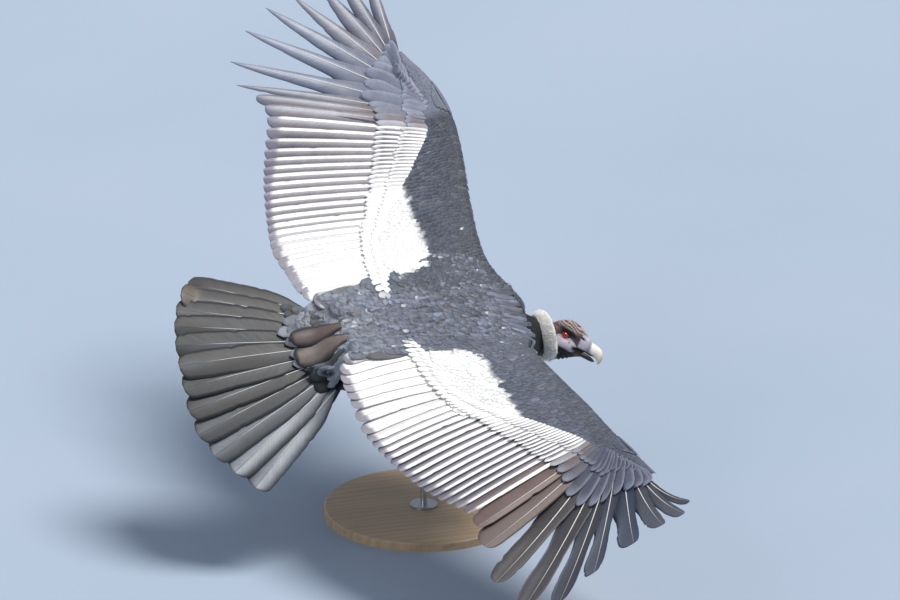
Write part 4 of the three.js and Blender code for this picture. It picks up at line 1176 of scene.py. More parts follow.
def body_feathers():
    coat = Coat()
    section = through(TORSO)
    rows = [300.0]
    while rows[-1] > -232:
        rows.append(rows[-1] - 8 - 5 * float(1 - step(150, 300, rows[-1])))
    for rank, x in enumerate(rows[::-1]):
        middle, half_width, rise, drop = section(np.array([x]))[0]
        around = np.pi * (half_width + (rise + drop) / 2)
        grain = 9.5 + 5.5 * float(1 - step(150, 300, x))
        count = max(int(around / grain), 10)
        turn = 2 * np.pi * (np.arange(count) + 0.5 * (rank % 2)) / count + draw.normal(0, 0.02, count)
        # The long feathers of the back cover the rest.
        turn = turn[(np.cos(turn) < 0.3) | (x > 60)]
        count = len(turn)
        height = np.where(np.cos(turn) > 0, rise, drop) - COAT_DEPTH
        wide = half_width - COAT_DEPTH
        roots = np.stack([np.full(count, x), wide * np.sin(turn), middle + height * np.cos(turn)], -1)
        normals = unit(np.stack([0 * turn, np.sin(turn) / wide, np.cos(turn) / height], -1))
        ahead = section(np.array([x - 12.0]))[0]
        slope = np.where(np.cos(turn) > 0, ahead[2] - rise, ahead[3] - drop) / 12
        lie = np.stack([np.full(count, -1.0), 0 * turn, (ahead[0] - middle) / 12 + slope * np.cos(turn)], -1)
        back = step(-0.2, 0.2, np.cos(turn))
        length = 38 * (0.6 + 0.62 * float(1 - step(80, 300, x))) * (1 + draw.normal(0, 0.1, count))
        colour = SLATE * np.exp(draw.normal(-0.1, 0.3, (count, 1)))
        colour = mix(colour, SLATE_PALE, np.clip(draw.normal(0.05, 0.2, count), 0, 0.6) * back)
        colour = mix(BLACK * 1.5, colour, 0.2 + 0.8 * back)
        # Feathers near the ruff are darkened: partly the neck's own dark feathers, partly painted shade
        # behind the ruff.
        collar = float(step(284, 300, x))
        colour = mix(colour, linear(40, 42, 38), np.full(count, collar * 0.9))
        rim = (0.2 + 0.3 * draw.random(count)) * (0.25 + 0.75 * back) * (1 - 0.8 * collar)
        edge = mix(colour, SLATE_PALE, rim)
        edge = mix(edge, WHITE, (draw.random(count) < 0.006) * back * (1 - collar) * 0.6)
        base = np.stack([np.clip((x + 260) / 620, 0, 1) * np.ones(count), turn / 6.8 + 0.02], 1)
        tilt = np.full(count, 0.13)
        over_feathers(coat, roots, lie, normals, length, length * 0.27, tilt, colour, edge, base)
    # Short dark ones over the base of the neck, up to the ruff, their dark partly their own colour and partly
    # painted shade behind the ruff.
    for rank, x in enumerate([304, 310, 316, 322, 328, 333]):
        way = through(COLLAR)(np.array([float(x)]))[0]
        turn = 2 * np.pi * (np.arange(36) + 0.5 * (rank % 2)) / 36
        normals = np.stack([0 * turn, np.sin(turn), np.cos(turn)], -1)
        roots = np.array([x, way[0], way[1]]) + normals * (way[2] - 1)
        size = 24 * (1 + draw.normal(0, 0.08, 36))
        colour = linear(42, 44, 40) * np.exp(draw.normal(0, 0.2, (36, 1)))
        edge = mix(colour, linear(84, 86, 84), 0.5 * draw.random(36))
        base = np.stack([np.full(36, (x + 260) / 620), turn / 6.8 + 0.02], 1)
        lie = np.tile([-1.0, 0, 0], (36, 1))
        over_feathers(coat, roots, lie, normals, size, size * 0.27, np.full(36, 0.42), colour, edge, base)
    return coat.build("body_feathers", [body_look])


body_feathers()


def height_finder(names):
    """A function that gives the upper surface's height in the bird's frame under each (x, y)."""
    points, faces, shift = [], [], 0
    for name in names:
        mesh = bpy.data.objects[name].data
        local = (points_of(bpy.data.objects[name]) / MM - PLACE) @ ATTITUDE
        points += [tuple(p) for p in local]
        faces += [[v + shift for v in polygon.vertices] for polygon in mesh.polygons]
        shift += len(local)
    tree = BVHTree.FromPolygons(points, faces)

    def height(x, y, missing):
        hits = [tree.ray_cast(Vector((a, b, 400)), Vector((0, 0, -1)))[0] for a, b in zip(x, y)]
        return np.array([missing if hit is None else hit.z for hit in hits])

    return height


def slid(grid, axis, pick, reach):
    """The largest or smallest height within reach along one axis of a grid."""
    padded = np.pad(grid, [(reach, reach) if k == axis else (0, 0) for k in (0, 1)], mode="edge")
    size = grid.shape[axis]
    return pick([np.take(padded, np.arange(k, k + size), axis) for k in range(2 * reach + 1)], axis=0)


def saddle_field():
    """The lie of the back from wing to wing: hollows narrower than a long feather are bridged."""
    height = height_finder(["skin_body", "secondaries_left", "secondaries_right", "tail_feathers"])
    xs, ys = np.arange(-330, 300, 6.0), np.arange(-260, 261, 6.0)
    gx, gy = np.meshgrid(xs, ys, indexing="ij")
    grid = height(gx.ravel(), gy.ravel(), -60.0).reshape(gx.shape)
    for pick in (np.max, np.min):
        for axis in (0, 1):
            grid = slid(grid, axis, pick, 5)
    for _ in range(5):
        for axis in (0, 1):
            padded = np.pad(grid, [(1, 1) if k == axis else (0, 0) for k in (0, 1)], mode="edge")
            size = grid.shape[axis]
            near = [np.take(padded, np.arange(k, k + size), axis) for k in range(3)]
            grid = (near[0] + 2 * near[1] + near[2]) / 4

    def at(x, y):
        a = np.clip((x - xs[0]) / 6, 0, len(xs) - 1.001)
        b = np.clip((y - ys[0]) / 6, 0, len(ys) - 1.001)
        i, j = a.astype(int), b.astype(int)
        p, q = a - i, b - j
        low = grid[i, j] * (1 - q) + grid[i, j + 1] * q
        high = grid[i + 1, j] * (1 - q) + grid[i + 1, j + 1] * q
        return low * (1 - p) + high * p

    return at


def laid(field, root, tip, t, lift):
    """Feathers from root to tip, each (N, 2) in plan, laid on a field of heights. lift is (N, R)."""
    flat = root[:, None] + (tip - root)[:, None] * t[..., None]
    x, y = flat[..., 0], flat[..., 1]
    line = np.stack([x, y, field(x, y) + lift], -1)
    way = unit(tip - root)
    aside = np.stack([way[:, 1:], -way[:, :1]], -1)[:, 0][:, None] * np.ones_like(flat)
    beyond, before = flat + 6 * aside, flat - 6 * aside
    slope = (field(beyond[..., 0], beyond[..., 1]) - field(before[..., 0], before[..., 1])) / 12
    side = np.concatenate([aside, slope[..., None]], -1)
    along = unit(np.gradient(line, axis=1))
    across = unit(side - along * (side * along).sum(-1, keepdims=True))
    return line, across, np.cross(across, along)


def scapulars(field):
    """The long feathers of the back and shoulder, laid over the roots of the wings."""
    coat = Coat()
    for rank, x in enumerate(np.arange(-206, 284, 9.5)):
        edge_y = float(SADDLE_EDGE(np.array([min(x - 45, 112.0)]))[0, 0]) - 2
        edge_y = (edge_y + max(x - 120, 0) * 0.35) * (1 - 0.32 * float(step(-150, -230, x)))
        n = int(edge_y * 2 / 10.5)
        y = np.linspace(-edge_y, edge_y, n) + draw.normal(0, 2.5, n) + (3 if rank % 2 else -3)
        # The right side of the rump is left bare, so the near-black skin shows there as the painted shade of
        # a sunk hollow.
        y = y[(y > -44) | (x > -155)]
        n = len(y)
        out = np.abs(y) / edge_y
        length = (50 + 32 * float(step(200, 40, x))) * (1 + 0.2 * out) * (1 + draw.normal(0, 0.12, n))
        t = np.array([0, 0.2, 0.4, 0.6, 0.8, 0.92, 1.0])[None] * np.ones((n, 1))
        swing = -0.1 * np.sign(y) * out + draw.normal(0, 0.05, n)
        root = np.stack([x + draw.normal(0, 3, n), y], 1)
        tip = root + length[:, None] * np.stack([-np.ones(n), swing], 1)
        line, across, up = laid(field, root, tip, t, 2.0 + 3.5 * t - 2.5 * (t < 0.1))
        lean = np.radians(draw.normal(0, 2.2, n))[:, None, None]
        across, up = across * np.cos(lean) + up * np.sin(lean), up * np.cos(lean) - across * np.sin(lean)
        width = (length * 0.17)[:, None] * outline(t, 0.5, 0.45, 0.5, 0.12)
        colour = SLATE * np.exp(draw.normal(-0.03, 0.38, (n, 1)))
        low_back = float(step(60, -80, x))
        colour = mix(colour, linear(146, 150, 154), np.clip(draw.normal(0.4, 0.3, n), 0, 0.9) * low_back)
        colour = mix(colour, linear(96, 86, 80), (draw.random(n) < 0.1) * 0.6)
        colour = mix(colour, SLATE_DARK, np.clip(draw.normal(0.15, 0.35, n), 0, 0.8) * (1 - low_back))
        edge = mix(colour, SLATE_PALE, 0.05 + 0.4 * draw.random(n))
        edge = mix(edge, WHITE, (draw.random(n) < 0.012) * 0.6 * float(x > -100))
        base = np.stack([np.full(n, (x + 260) / 620), 0.5 + y / 700], 1)
        coat.vanes(line, across, up, width, width, small_tone(colour, edge), base, WIDE_COLUMNS, 0.4, 0.09)
    return coat.build("scapulars", [body_look])


def tail_coverts(field):
    """Short coverts over the root of the tail with three broad ones in the middle, and long ones below."""
    coat = Coat()
    for rank, x in enumerate((-238, -222, -206, -192)):
        n = 10 - rank % 2
        share = np.linspace(-0.28, 1, n) + draw.normal(0, 0.015, n)
        root = np.stack([np.full(n, float(x)), share * (100 - 9 * rank)], 1)
        size = (58 - 3 * rank) * (1 + draw.normal(0, 0.08, n))
        tip = root + size[:, None] * np.stack([-np.cos(share * 0.5), np.sin(share * 0.5)], 1)
        t = SMALL[None] * np.ones((n, 1))
        line, across, up = laid(field, root, tip, t, 1.0 + 1.2 * rank + 2 * t)
        width = 15 * outline(t, 0.45, 0.5, 0.6, 0.25) * (1 + draw.normal(0, 0.06, (n, 1)))
        colour = mix(TAIL_GREY, linear(98, 92, 88), draw.random(n))
        edge = mix(colour, SLATE_PALE, np.full(n, 0.15))
        base = np.stack([0.5 + share / 2.4, np.full(n, 0.55 + 0.08 * rank)], 1)
        coat.vanes(line, across, up, width, width, small_tone(colour, edge), base, SMALL_COLUMNS, 0.4, 0.08)
    for rank, start in enumerate((0.06, -0.02, -0.1)):
        index = np.linspace(-5.3, 5.3, 14)
        t = SMALL[None] * np.ones((14, 1))
        line, across, up = frames(tail_sheet, index, start + 0.38 * t, 6.0, np.sign(index + 0.01))
        line = line - up * (3 + 2.5 * rank + 4 * t)[..., None]
        width = 20 * outline(t, 0.45, 0.5, 0.6, 0.25) * np.ones((14, 1))
        colour = SLATE_DARK * (1 + draw.normal(0, 0.14, (14, 1)))
        base = np.stack([0.5 + index / 14, np.full(14, 0.4 - 0.1 * rank)], 1)
        tone = small_tone(colour, mix(colour, SLATE, np.full(14, 0.4)))
        coat.vanes(line, across, -up, width, width, tone, base, SMALL_COLUMNS, 0.5, 0.2)
    # The broad ones, lowest first: root, tip, half width and colour.
    broad = [
        [(-196, -58), (-288, -62), 26, linear(54, 58, 58)],
        [(-180, -20), (-306, -16), 36, linear(104, 92, 85)],
        [(-178, 20), (-302, 30), 28, linear(86, 70, 63)],
    ]
    for rank, (root, tip, half, colour) in enumerate(broad):
        root, tip = np.array([root], float), np.array([tip], float)
        t = LONG[None]
        line, across, up = laid(field, root, tip, t, 7 + 3 * rank + 3 * t)
        width = half * outline(t, 0.4, 0.45, 0.62, 0.2)

        def tone(u, v):
            # A black rim round each broad covert: painted shadow along its edges.
            rim = np.maximum(step(0.9, 0.97, u), step(0.6, 0.8, np.abs(v)))
            ground = mix(colour, linear(146, 140, 136), 0.4 * bell(v - 0.2, 0.4) * bell(u - 0.7, 0.2))
            return mix(ground, BLACK, rim)

        base = np.array([[0.5, 0.3 + 0.1 * rank]])
        coat.vanes(line, across, up, width, width, tone, base, VANE_COLUMNS, 0.7, 0.24)
    return coat.build("tail_coverts", [body_look])


saddle = saddle_field()
scapulars(saddle)
tail_coverts(saddle)

# Head


def head_frame():
    forward = unit(HEAD_FORWARD)
    up = unit(HEAD_UP - forward * (HEAD_UP @ forward))
    return np.stack([forward, np.cross(up, forward), up], 1)


HEAD_AXES = head_frame()


def from_head(points):
    return np.asarray(points, float) @ HEAD_AXES.T + HEAD_PLACE


def to_head(points):
    return (np.asarray(points, float) - HEAD_PLACE) @ HEAD_AXES


def power(value, exponent):
    return np.sign(value) * np.abs(value) ** exponent


def ring_tube(name, path, radius, sides=8):
    """A closed tube round a closed path in the head's frame."""
    path = np.asarray(path, float)
    along = unit(np.roll(path, -1, 0) - np.roll(path, 1, 0))
    out = unit(path - path.mean(0))
    side = np.cross(along, out)
    turn = 2 * np.pi * np.arange(sides) / sides
    radius = np.reshape(radius * np.ones(len(path)), (-1, 1, 1))
    ring = out[:, None] * np.cos(turn)[..., None] + side[:, None] * np.sin(turn)[..., None]
    rings = from_head(path[:, None] + radius * ring)
    ids = np.arange(len(path) * sides).reshape(len(path), sides)
    nxt, down = np.roll(ids, -1, 1), np.roll(ids, -1, 0)
    faces = np.stack([ids, down, np.roll(nxt, -1, 0), nxt], -1).reshape(-1, 4)
    return new_mesh(name, rings.reshape(-1, 3), faces)


def folds(x, y, z):
    """The wrinkles of the crown: 1 on a ridge, -1 in a furrow."""
    bent = z + 0.32 * x + 2.2 * np.sin(0.16 * x + 0.1 * y)
    return np.sin(0.86 * bent) + 0.45 * np.sin(1.7 * z - 0.55 * x + 0.3 * y)


def head_tone(x, y, z):
    """The bare skin: brown-pink folded crown with painted shade in its furrows and painted highlight on its
    ridges, dark brow and eye socket painted as shade, lilac cheek, near-black throat painted as the shadow
    under the head, lilac-grey cere.
    """
    wave = folds(x, y, z)
    # Painted shade in the crown's furrows.
    crown = mix(linear(166, 146, 142), linear(42, 33, 31), step(0.1, -0.9, wave))
    colour = np.tile(linear(92, 76, 72), (len(x), 1))
    colour = mix(colour, crown, step(13, 19, z))
    # Painted highlight on the crown's ridges near the top.
    ridge = bell(x - 10, 20) * bell(z - 31, 5) * 0.45 * step(-0.2, 0.6, wave)
    colour = mix(colour, linear(196, 170, 164), ridge)
    swell = bell(x - 8, 29) * bell(z + 16 + 0.1 * x, 14.5)
    cheek = step(0.26, 0.38, swell)
    colour = mix(colour, linear(26, 24, 24), step(0.12, 0.26, swell) * 0.75)
    colour = mix(colour, linear(196, 184, 194), cheek)
    colour = mix(colour, linear(150, 134, 150), cheek * 0.5 * step(-22, -34, z))
    colour = mix(colour, linear(96, 82, 104), bell(x - 16, 2.8) * bell(z + 12, 2.6) * 0.85)
    # Painted shadow of the brow over the eye.
    brow = np.clip(2.0 * bell(x - 6, 25) * bell(z - 10.5 + 0.2 * x, 5.5), 0, 1)
    colour = mix(colour, linear(18, 19, 18), brow)
    # Painted shade in the eye socket.
    colour = mix(colour, linear(18, 14, 14), np.clip(1.3 * bell(x + 1, 15) * bell(z - 2, 7.5), 0, 1))
    colour = mix(colour, linear(96, 20, 22), bell(x - 1, 10) * bell(z + 7.5, 2.5) * 0.8)
    behind = step(-20, -30, x) * step(22, 12, z)
    colour = mix(colour, mix(linear(40, 30, 27), linear(96, 74, 68), step(-14, 2, z)), behind * 0.95)
    # Painted shadow under the head: the near-black throat.
    colour = mix(colour, linear(17, 16, 14), step(-26, -33, z + 0.16 * np.maximum(x - 14, 0)))
    lores = bell(x - 34, 5) * bell(z - 6, 12)
    colour = mix(colour, linear(62, 52, 54), np.clip(lores * 1.2, 0, 1) * 0.8)
    cere = step(36, 42, x) * step(-15, -9, z) * step(24, 18, z)
    colour = mix(colour, linear(188, 184, 194), cere * 0.92)
    gape = bell(z + 20 - 0.05 * (x - 44), 5) * step(22, 34, x)
    colour = mix(colour, linear(24, 20, 20), np.clip(gape * 1.3, 0, 1))
    slit = bell((x - 43) * 0.5, 2.8) * bell(z - 11 + 0.3 * (x - 44), 2.1) * step(7, 11, np.abs(y))
    colour = mix(colour, linear(6, 5, 5), np.clip(slit * 1.7, 0, 1))
    neck = step(-50, -60, x)
    return mix(colour, linear(186, 132, 72), neck * 0.85)


def head_skin():
    xs = np.linspace(-46, 58, 60)
    section = through(HEAD)(xs)
    turn = 2 * np.pi * np.arange(72) / 72
    top, bottom, middle, half = (section[:, k : k + 1] for k in range(4))
    upward = power(np.cos(turn), 0.9)[None]
    z = middle + upward * np.where(upward > 0, top - middle, middle - bottom)
    rings = np.stack([xs[:, None] * np.ones(72), power(np.sin(turn), 0.9)[None] * half, z], -1)
    solids = [loft("head_form", from_head(rings))]
    xs = np.linspace(270, 352, 40)
    section = through(NECK)(xs)
    turn = 2 * np.pi * np.arange(40) / 40
    radius = section[:, 2:3] + 1.6 * np.sin(xs * 0.62)[:, None] * (1 + 0.3 * np.sin(3 * turn))
    y, z = section[:, :1] + radius * np.sin(turn), section[:, 1:2] + radius * np.cos(turn)
    solids.append(loft("neck_form", np.stack([xs[:, None] * np.ones(40), y, z], -1)))
    t = 2 * np.pi * np.arange(48) / 48
    for side in (1, -1):
        height = side * (EAR_PLACE[1] - 0.5) + 0 * t
        rim = np.stack([EAR_PLACE[0] + 5.5 * np.cos(t), height, EAR_PLACE[2] + 5.5 * np.sin(t)], -1)
        solids.append(ring_tube("ear_rim", rim, 1.5))
    o = welded("skin_head", solids, 1.1, 6)
    p = to_head(points_of(o))
    normal = normals_of(o) @ HEAD_AXES
    x, y, z = p.T
    side = step(0.25, 0.8, np.abs(normal[:, 1]))
    brow = 6.0 * bell(x - 3, 18) * bell(z - 12.5 + 0.1 * x, 4.6)
    socket = -6.0 * bell(x, 13) * bell(z, 7.5)
    cheek = 3.6 * bell(x - 8, 20) * bell(z + 21, 13)
    under_eye = -1.8 * bell(z + 8.5, 1.5) * bell(x - 4, 16)
    jaw = -2.4 * bell(z + 35 - 0.12 * x, 1.7) * bell(x - 10, 24)
    jaw = jaw + 1.6 * bell(x - 18, 22) * bell(z + 41 - 0.25 * x, 4)
    behind = -2.6 * bell(x + 21 + 0.15 * z, 2.6) * bell(z + 18, 17)
    gape = -4.6 * bell(z + 18 - 0.05 * (x - 44), 1.5) * step(24, 38, x)
    lores = -1.8 * bell(x - 34, 3) * bell(z - 4, 13) + 1.4 * bell(x - 44, 6) * bell(z - 2, 9)
    ear = -6.0 * bell(np.hypot(x - EAR_PLACE[0], z - EAR_PLACE[2]), 3.6)
    nostril = -7.0 * bell((x - 43) * 0.5, 2.6) * bell(z - 11 + 0.3 * (x - 44), 1.8)
    relief = (brow + socket + cheek + under_eye + jaw + behind + gape + lores + ear + nostril) * side
    crown = 1.5 * folds(x, y, z) * bell(x - 0, 34) * step(13, 22, z)
    crest = 1.6 * bell(y, 5) * step(20, 32, z) * bell(x - 20, 24) * (1 + 0.5 * np.sin(x * 0.9))
    wattle = 1.7 * np.sin(0.55 * x + 0.3 * z + np.sin(y * 0.22)) * step(-38, -52, z)
    nape = 1.3 * np.sin(0.6 * z + 0.15 * np.abs(y)) * step(-20, -34, x)
    pebbles = 0.3 * (np.sin(1.9 * x + 1.1 * z) * np.sin(2.1 * z - 0.9 * y) + np.sin(1.3 * y + 1.7 * x))
    moved = p + normal * (relief + crown + crest + wattle + nape + pebbles)[:, None]
    set_points(o, to_world(from_head(moved)))
    shade_smooth(o)
    put(o.data, "tone", "FLOAT_COLOR", "POINT", "color", np.c_[head_tone(x, y, z), np.ones(len(x))])
    n = Nodes("bare_skin")
    place = n.node("ShaderNodeTexCoord").outputs["Object"]
    pores = n.node("ShaderNodeTexVoronoi", {"Vector": place, "Scale": 620.0}, feature="F1").outputs[0]
    wrinkle = n.noise(place, 210.0, 5.0, 0.65)
    veins = n.noise(place, 70.0, 4.0, 0.6)
    gain = n.math("MULTIPLY_ADD", n.math("SUBTRACT", veins, 0.5), 0.7, 1.0)
    gain = n.math("MULTIPLY", gain, n.math("MULTIPLY_ADD", n.math("SUBTRACT", wrinkle, 0.5), 0.8, 1.0))
    colour = n.scaled(n.attribute("tone").outputs["Color"], gain)
    height = n.math("ADD", wrinkle, n.math("MULTIPLY", pores, 0.5))
    rough = n.math("MULTIPLY_ADD", wrinkle, 0.3, 0.42)
    skin = n.finish(
        colour,
        rough,
        height,
        0.5,
        0.0008,
        Subsurface_Weight=0.06,
        Subsurface_Scale=0.003,
        Specular_IOR_Level=0.4,
    )
    o.data.materials.clear()
    o.data.materials.append(skin)
    return finished(o, ["head", "neck"])


head_skin()


def eye_material(name):
    n = Nodes(name)
    place = n.node("ShaderNodeTexCoord").outputs["Object"]
    rays = n.noise(place, 900.0, 3.0, 0.7)
    at = n.math("MULTIPLY_ADD", n.math("SUBTRACT", rays, 0.5), 0.05, n.attribute("polar").outputs["Fac"])
    black = (0.002, 0.002, 0.002)
    iris, rim = linear(176, 12, 24), linear(196, 26, 34)
    outer, ball = linear(34, 6, 6), linear(24, 18, 18)
    stops = [(0.0, black), (0.12, black), (0.16, iris), (0.58, rim), (0.66, outer), (0.8, ball)]
    colour = n.ramp(n.math("DIVIDE", at, 1.4), stops)
    wet = dict(Coat_Weight=0.8, Coat_Roughness=0.05, Specular_IOR_Level=0.5)
    return n.finish(colour, 0.12, rays, 0.02, 0.0002, **wet)


def eyes():
    polar = np.linspace(0, np.pi, 29)[1:-1]
    turn = 2 * np.pi * np.arange(32) / 32
    radius = EYE_RADIUS * (1 + 0.09 * bell(polar, 0.5))
    out, ringed = (radius * np.cos(polar))[:, None], (radius * np.sin(polar))[:, None]
    for name, side in (("left", 1), ("right", -1)):
        outwards = side * (EYE_OUT + out) + 0 * turn
        rings = np.stack([ringed * np.cos(turn), outwards, ringed * np.sin(turn) * side], -1)
        o = loft(f"eyeball_{name}", to_world(from_head(rings)))
        put(o.data, "polar", "FLOAT", "POINT", "value", np.concatenate([np.repeat(polar, 32), [0.0, np.pi]]))
        shade_smooth(o)
        o.data.materials.append(eye_material(f"eye_{name}"))
        finished(o, [f"eye_{name}"])

        # Lids: two wrinkled rings of skin round the ball, the upper one heavy.
        solids = []
        t = 2 * np.pi * np.arange(56) / 56
        for size, thick, outwards in ((9.0, 1.9, 5.8), (11.8, 1.7, 4.4)):
            high = np.where(np.sin(t) > 0, 0.38, 0.54) * size * np.sin(t) - 0.3
            path = np.stack([size * 1.06 * np.cos(t), side * (EYE_OUT + outwards) + 0 * t, high], -1)
            solids.append(ring_tube("lid_form", path, thick * (1 + 0.35 * np.maximum(np.sin(t), 0))))
        lid = welded(f"lids_{name}", solids, 0.6, 3)
        local = to_head(points_of(lid))
        puff = 0.3 * np.sin(np.arctan2(local[:, 2], local[:, 0]) * 21)
        set_points(lid, to_world(from_head(local + normals_of(lid) @ HEAD_AXES * puff[:, None])))
        shade_smooth(lid)
        n = Nodes(f"lid_skin_{name}")
        wrinkle = n.noise(n.node("ShaderNodeTexCoord").outputs["Object"], 420.0, 4.0, 0.6)
        colour = n.ramp(wrinkle, [(0.3, linear(14, 11, 12)), (0.7, linear(44, 30, 30))])
        lid.data.materials.clear()
        lid.data.materials.append(n.finish(colour, 0.5, wrinkle, 0.5, 0.0006))
        finished(lid)


eyes()


def horn_material():
    n = Nodes("bill_horn")
    place = n.node("ShaderNodeTexCoord").outputs["Object"]
    grain = n.noise(place, 210.0, 4.0, 0.6)
    band = n.noise(place, 60.0, 2.0)
    uneven = n.math("SUBTRACT", band, 0.5)
    gain = n.math("MULTIPLY_ADD", uneven, 0.35, n.math("MULTIPLY_ADD", grain, 0.3, 0.88))
    colour = n.scaled(n.attribute("tone").outputs["Color"], gain)
    rough = n.math("MULTIPLY_ADD", grain, 0.2, 0.28)
    return n.finish(colour, rough, grain, 0.25, 0.0004, Coat_Weight=0.2, Coat_Roughness=0.25)


def upper_tone(x, z):
    pale = mix(linear(242, 234, 218), linear(206, 190, 160), step(96, 104, x))
    colour = mix(np.tile(linear(176, 172, 182), (len(x), 1)), linear(110, 102, 108), bell(x - 66, 4) * 0.6)
    colour = mix(colour, pale, step(66, 74, x + 0.3 * z))
    return mix(colour, linear(22, 18, 18), np.clip(1.3 * bell(z + 16.5, 3.2), 0, 1) * step(88, 80, x))


def lower_tone(x, z):
    colour = mix(np.tile(linear(26, 22, 22), (len(x), 1)), linear(48, 42, 38), step(80, 90, x))
    return mix(colour, linear(40, 34, 30), step(-27, -31, z))


def bill():
    horn = horn_material()
    turn = 2 * np.pi * np.arange(48) / 48
    pieces = [
        ("upper_bill", "bill_upper", BILL_UPPER, upper_tone),
        ("lower_bill", "bill_lower", BILL_LOWER, lower_tone),
    ]
    for name, replaced, rows, tone in pieces:
        rows = np.array(rows, float)
        t = np.linspace(0, len(rows) - 1, 60)
        at = through(np.c_[np.arange(len(rows)), rows])(t)
        lean = np.radians(at[:, 4:5])
        height = at[:, 2:3] * power(np.cos(turn), 0.85)
        across = at[:, 3:4] * power(np.sin(turn), 0.85)
        if name == "upper_bill":
            # The cutting edge is pinched in along the side.
            pinch = bell(np.cos(turn) + 0.55, 0.25)[None] * step(0.8, 2.5, t)[:, None]
            across = across * (1 - 0.07 * pinch)
        rings = np.stack([at[:, :1] + height * np.sin(lean), across, at[:, 1:2] + height * np.cos(lean)], -1)
        o = loft(name, to_world(from_head(rings)))
        flat = np.concatenate([rings.reshape(-1, 3), rings[:1].mean(1), rings[-1:].mean(1)])
        colours = tone(flat[:, 0], flat[:, 2])
        put(o.data, "tone", "FLOAT_COLOR", "POINT", "color", np.c_[colours, np.ones(len(colours))])
        shade_smooth(o)
        o.data.materials.append(horn)
        finished(o, [replaced])


bill()

# Ruff


def ruff():
    def ring_point(angle, out, ahead):
        return RUFF_CENTRE + np.stack([ahead, out * np.sin(angle), out * np.cos(angle)], -1)

    around, section = 96, 24
    a = 2 * np.pi * np.arange(around)[:, None] / around
    s = 2 * np.pi * np.arange(section)[None] / section
    stands_out = RUFF_RADIUS + 7 * power(np.cos(s), 0.6) + 0 * a
    core = ring_point(a + 0 * s, stands_out, 14 * power(np.sin(s), 0.8) + 0 * a)
    ids = np.arange(around * section).reshape(around, section)
    nxt, down = np.roll(ids, -1, 1), np.roll(ids, -1, 0)
    faces = np.stack([ids, nxt, np.roll(nxt, -1, 0), down], -1).reshape(-1, 4)
    o = new_mesh("ruff_core", to_world(core.reshape(-1, 3)), faces)
    shade_smooth(o)
    n = Nodes("ruff_base")
    fluff = n.noise(n.node("ShaderNodeTexCoord").outputs["Object"], 240.0, 4.0, 0.6)
    colour = n.ramp(fluff, [(0.3, linear(246, 242, 236)), (0.7, linear(252, 249, 244))])
    o.data.materials.append(n.finish(colour, 0.9, fluff, 0.6, 0.001))
    finished(o, ["ruff"])

    # Fine tufts stand out of the core and part to both sides.
    count = 4700
    angle = draw.uniform(0, 2 * np.pi, count)
    place = draw.uniform(-0.62 * np.pi, 0.62 * np.pi, count)
    root = ring_point(angle, RUFF_RADIUS + 6 * np.cos(place), 12 * np.sin(place))
    outward = np.stack([0 * angle, np.sin(angle), np.cos(angle)], -1)
    ahead = np.array([1.0, 0, 0])
    lie = outward * (0.35 + 0.65 * np.cos(place))[:, None] + ahead * (0.7 * np.sin(place))[:, None]
    lie = unit(unit(lie) + draw.normal(0, 0.07, (count, 3)))
    t = np.linspace(0, 1, 5)[None] * np.ones((count, 1))
    length = (6.5 + 3.5 * np.maximum(np.cos(place), 0)) * (1 + draw.normal(0, 0.13, count))
    line = root[:, None] + lie[:, None] * (length[:, None] * t)[..., None]
    line = line - ahead * (np.sign(place)[:, None] * length[:, None] * 0.2 * t**2)[..., None]
    along = unit(np.gradient(line, axis=1))
    side = unit(np.cross(along, outward[:, None] + 0.3 * ahead))
    wide = 2.5 * (1 - 0.85 * t**1.5)
    # Each tuft is a little darker at its root, a slight painted shade among the tufts.
    tone = (DOWN_WHITE * (1 + draw.normal(0, 0.03, (count, 1))))[:, None] * (0.96 + 0.06 * t[..., None])
    coat = Coat()
    base = np.stack([angle / 6.4 + 0.005, 0.5 + place / 7], 1)
    coat.tubes(line, side, np.cross(side, along), wide, wide * 0.5, tone, base, 4)
    return coat.build("ruff_tufts", [feather_material("ruff_down", 0.85, 0.4, 0.25, 0.05)])


ruff()

# Legs and feet


def joined(name, objects):
    bpy.ops.object.select_all(action="DESELECT")
    for o in objects:
        o.select_set(True)
    bpy.context.view_layer.objects.active = objects[0]
    bpy.ops.object.join()
    o = bpy.context.view_layer.objects.active
    o.name = name
    o.data.name = name
    return o


def foot_materials():
    n = Nodes("foot_scales")
    place = n.node("ShaderNodeTexCoord").outputs["Object"]
    scaled = {"Vector": place, "Scale": 260.0}
    cells = n.node("ShaderNodeTexVoronoi", scaled, feature="DISTANCE_TO_EDGE").outputs[0]
    dust = n.noise(place, 90.0, 4.0)
    colour = n.scaled(n.attribute("tone").outputs["Color"], n.math("MULTIPLY_ADD", dust, 0.5, 0.75))
    seams = n.node("ShaderNodeMapRange", {0: cells, 2: 0.12})
    scales = n.finish(colour, n.math("MULTIPLY_ADD", dust, 0.2, 0.5), seams, 0.6, 0.0008)
    n = Nodes("claw_horn")
    grain = n.noise(n.node("ShaderNodeTexCoord").outputs["Object"], 300.0, 3.0)
    colour = n.ramp(grain, [(0.3, linear(24, 22, 22)), (0.8, linear(58, 52, 50))])
    claws = n.finish(colour, n.math("MULTIPLY_ADD", grain, 0.2, 0.22), grain, 0.2, 0.0003, Coat_Weight=0.2)
    return scales, claws


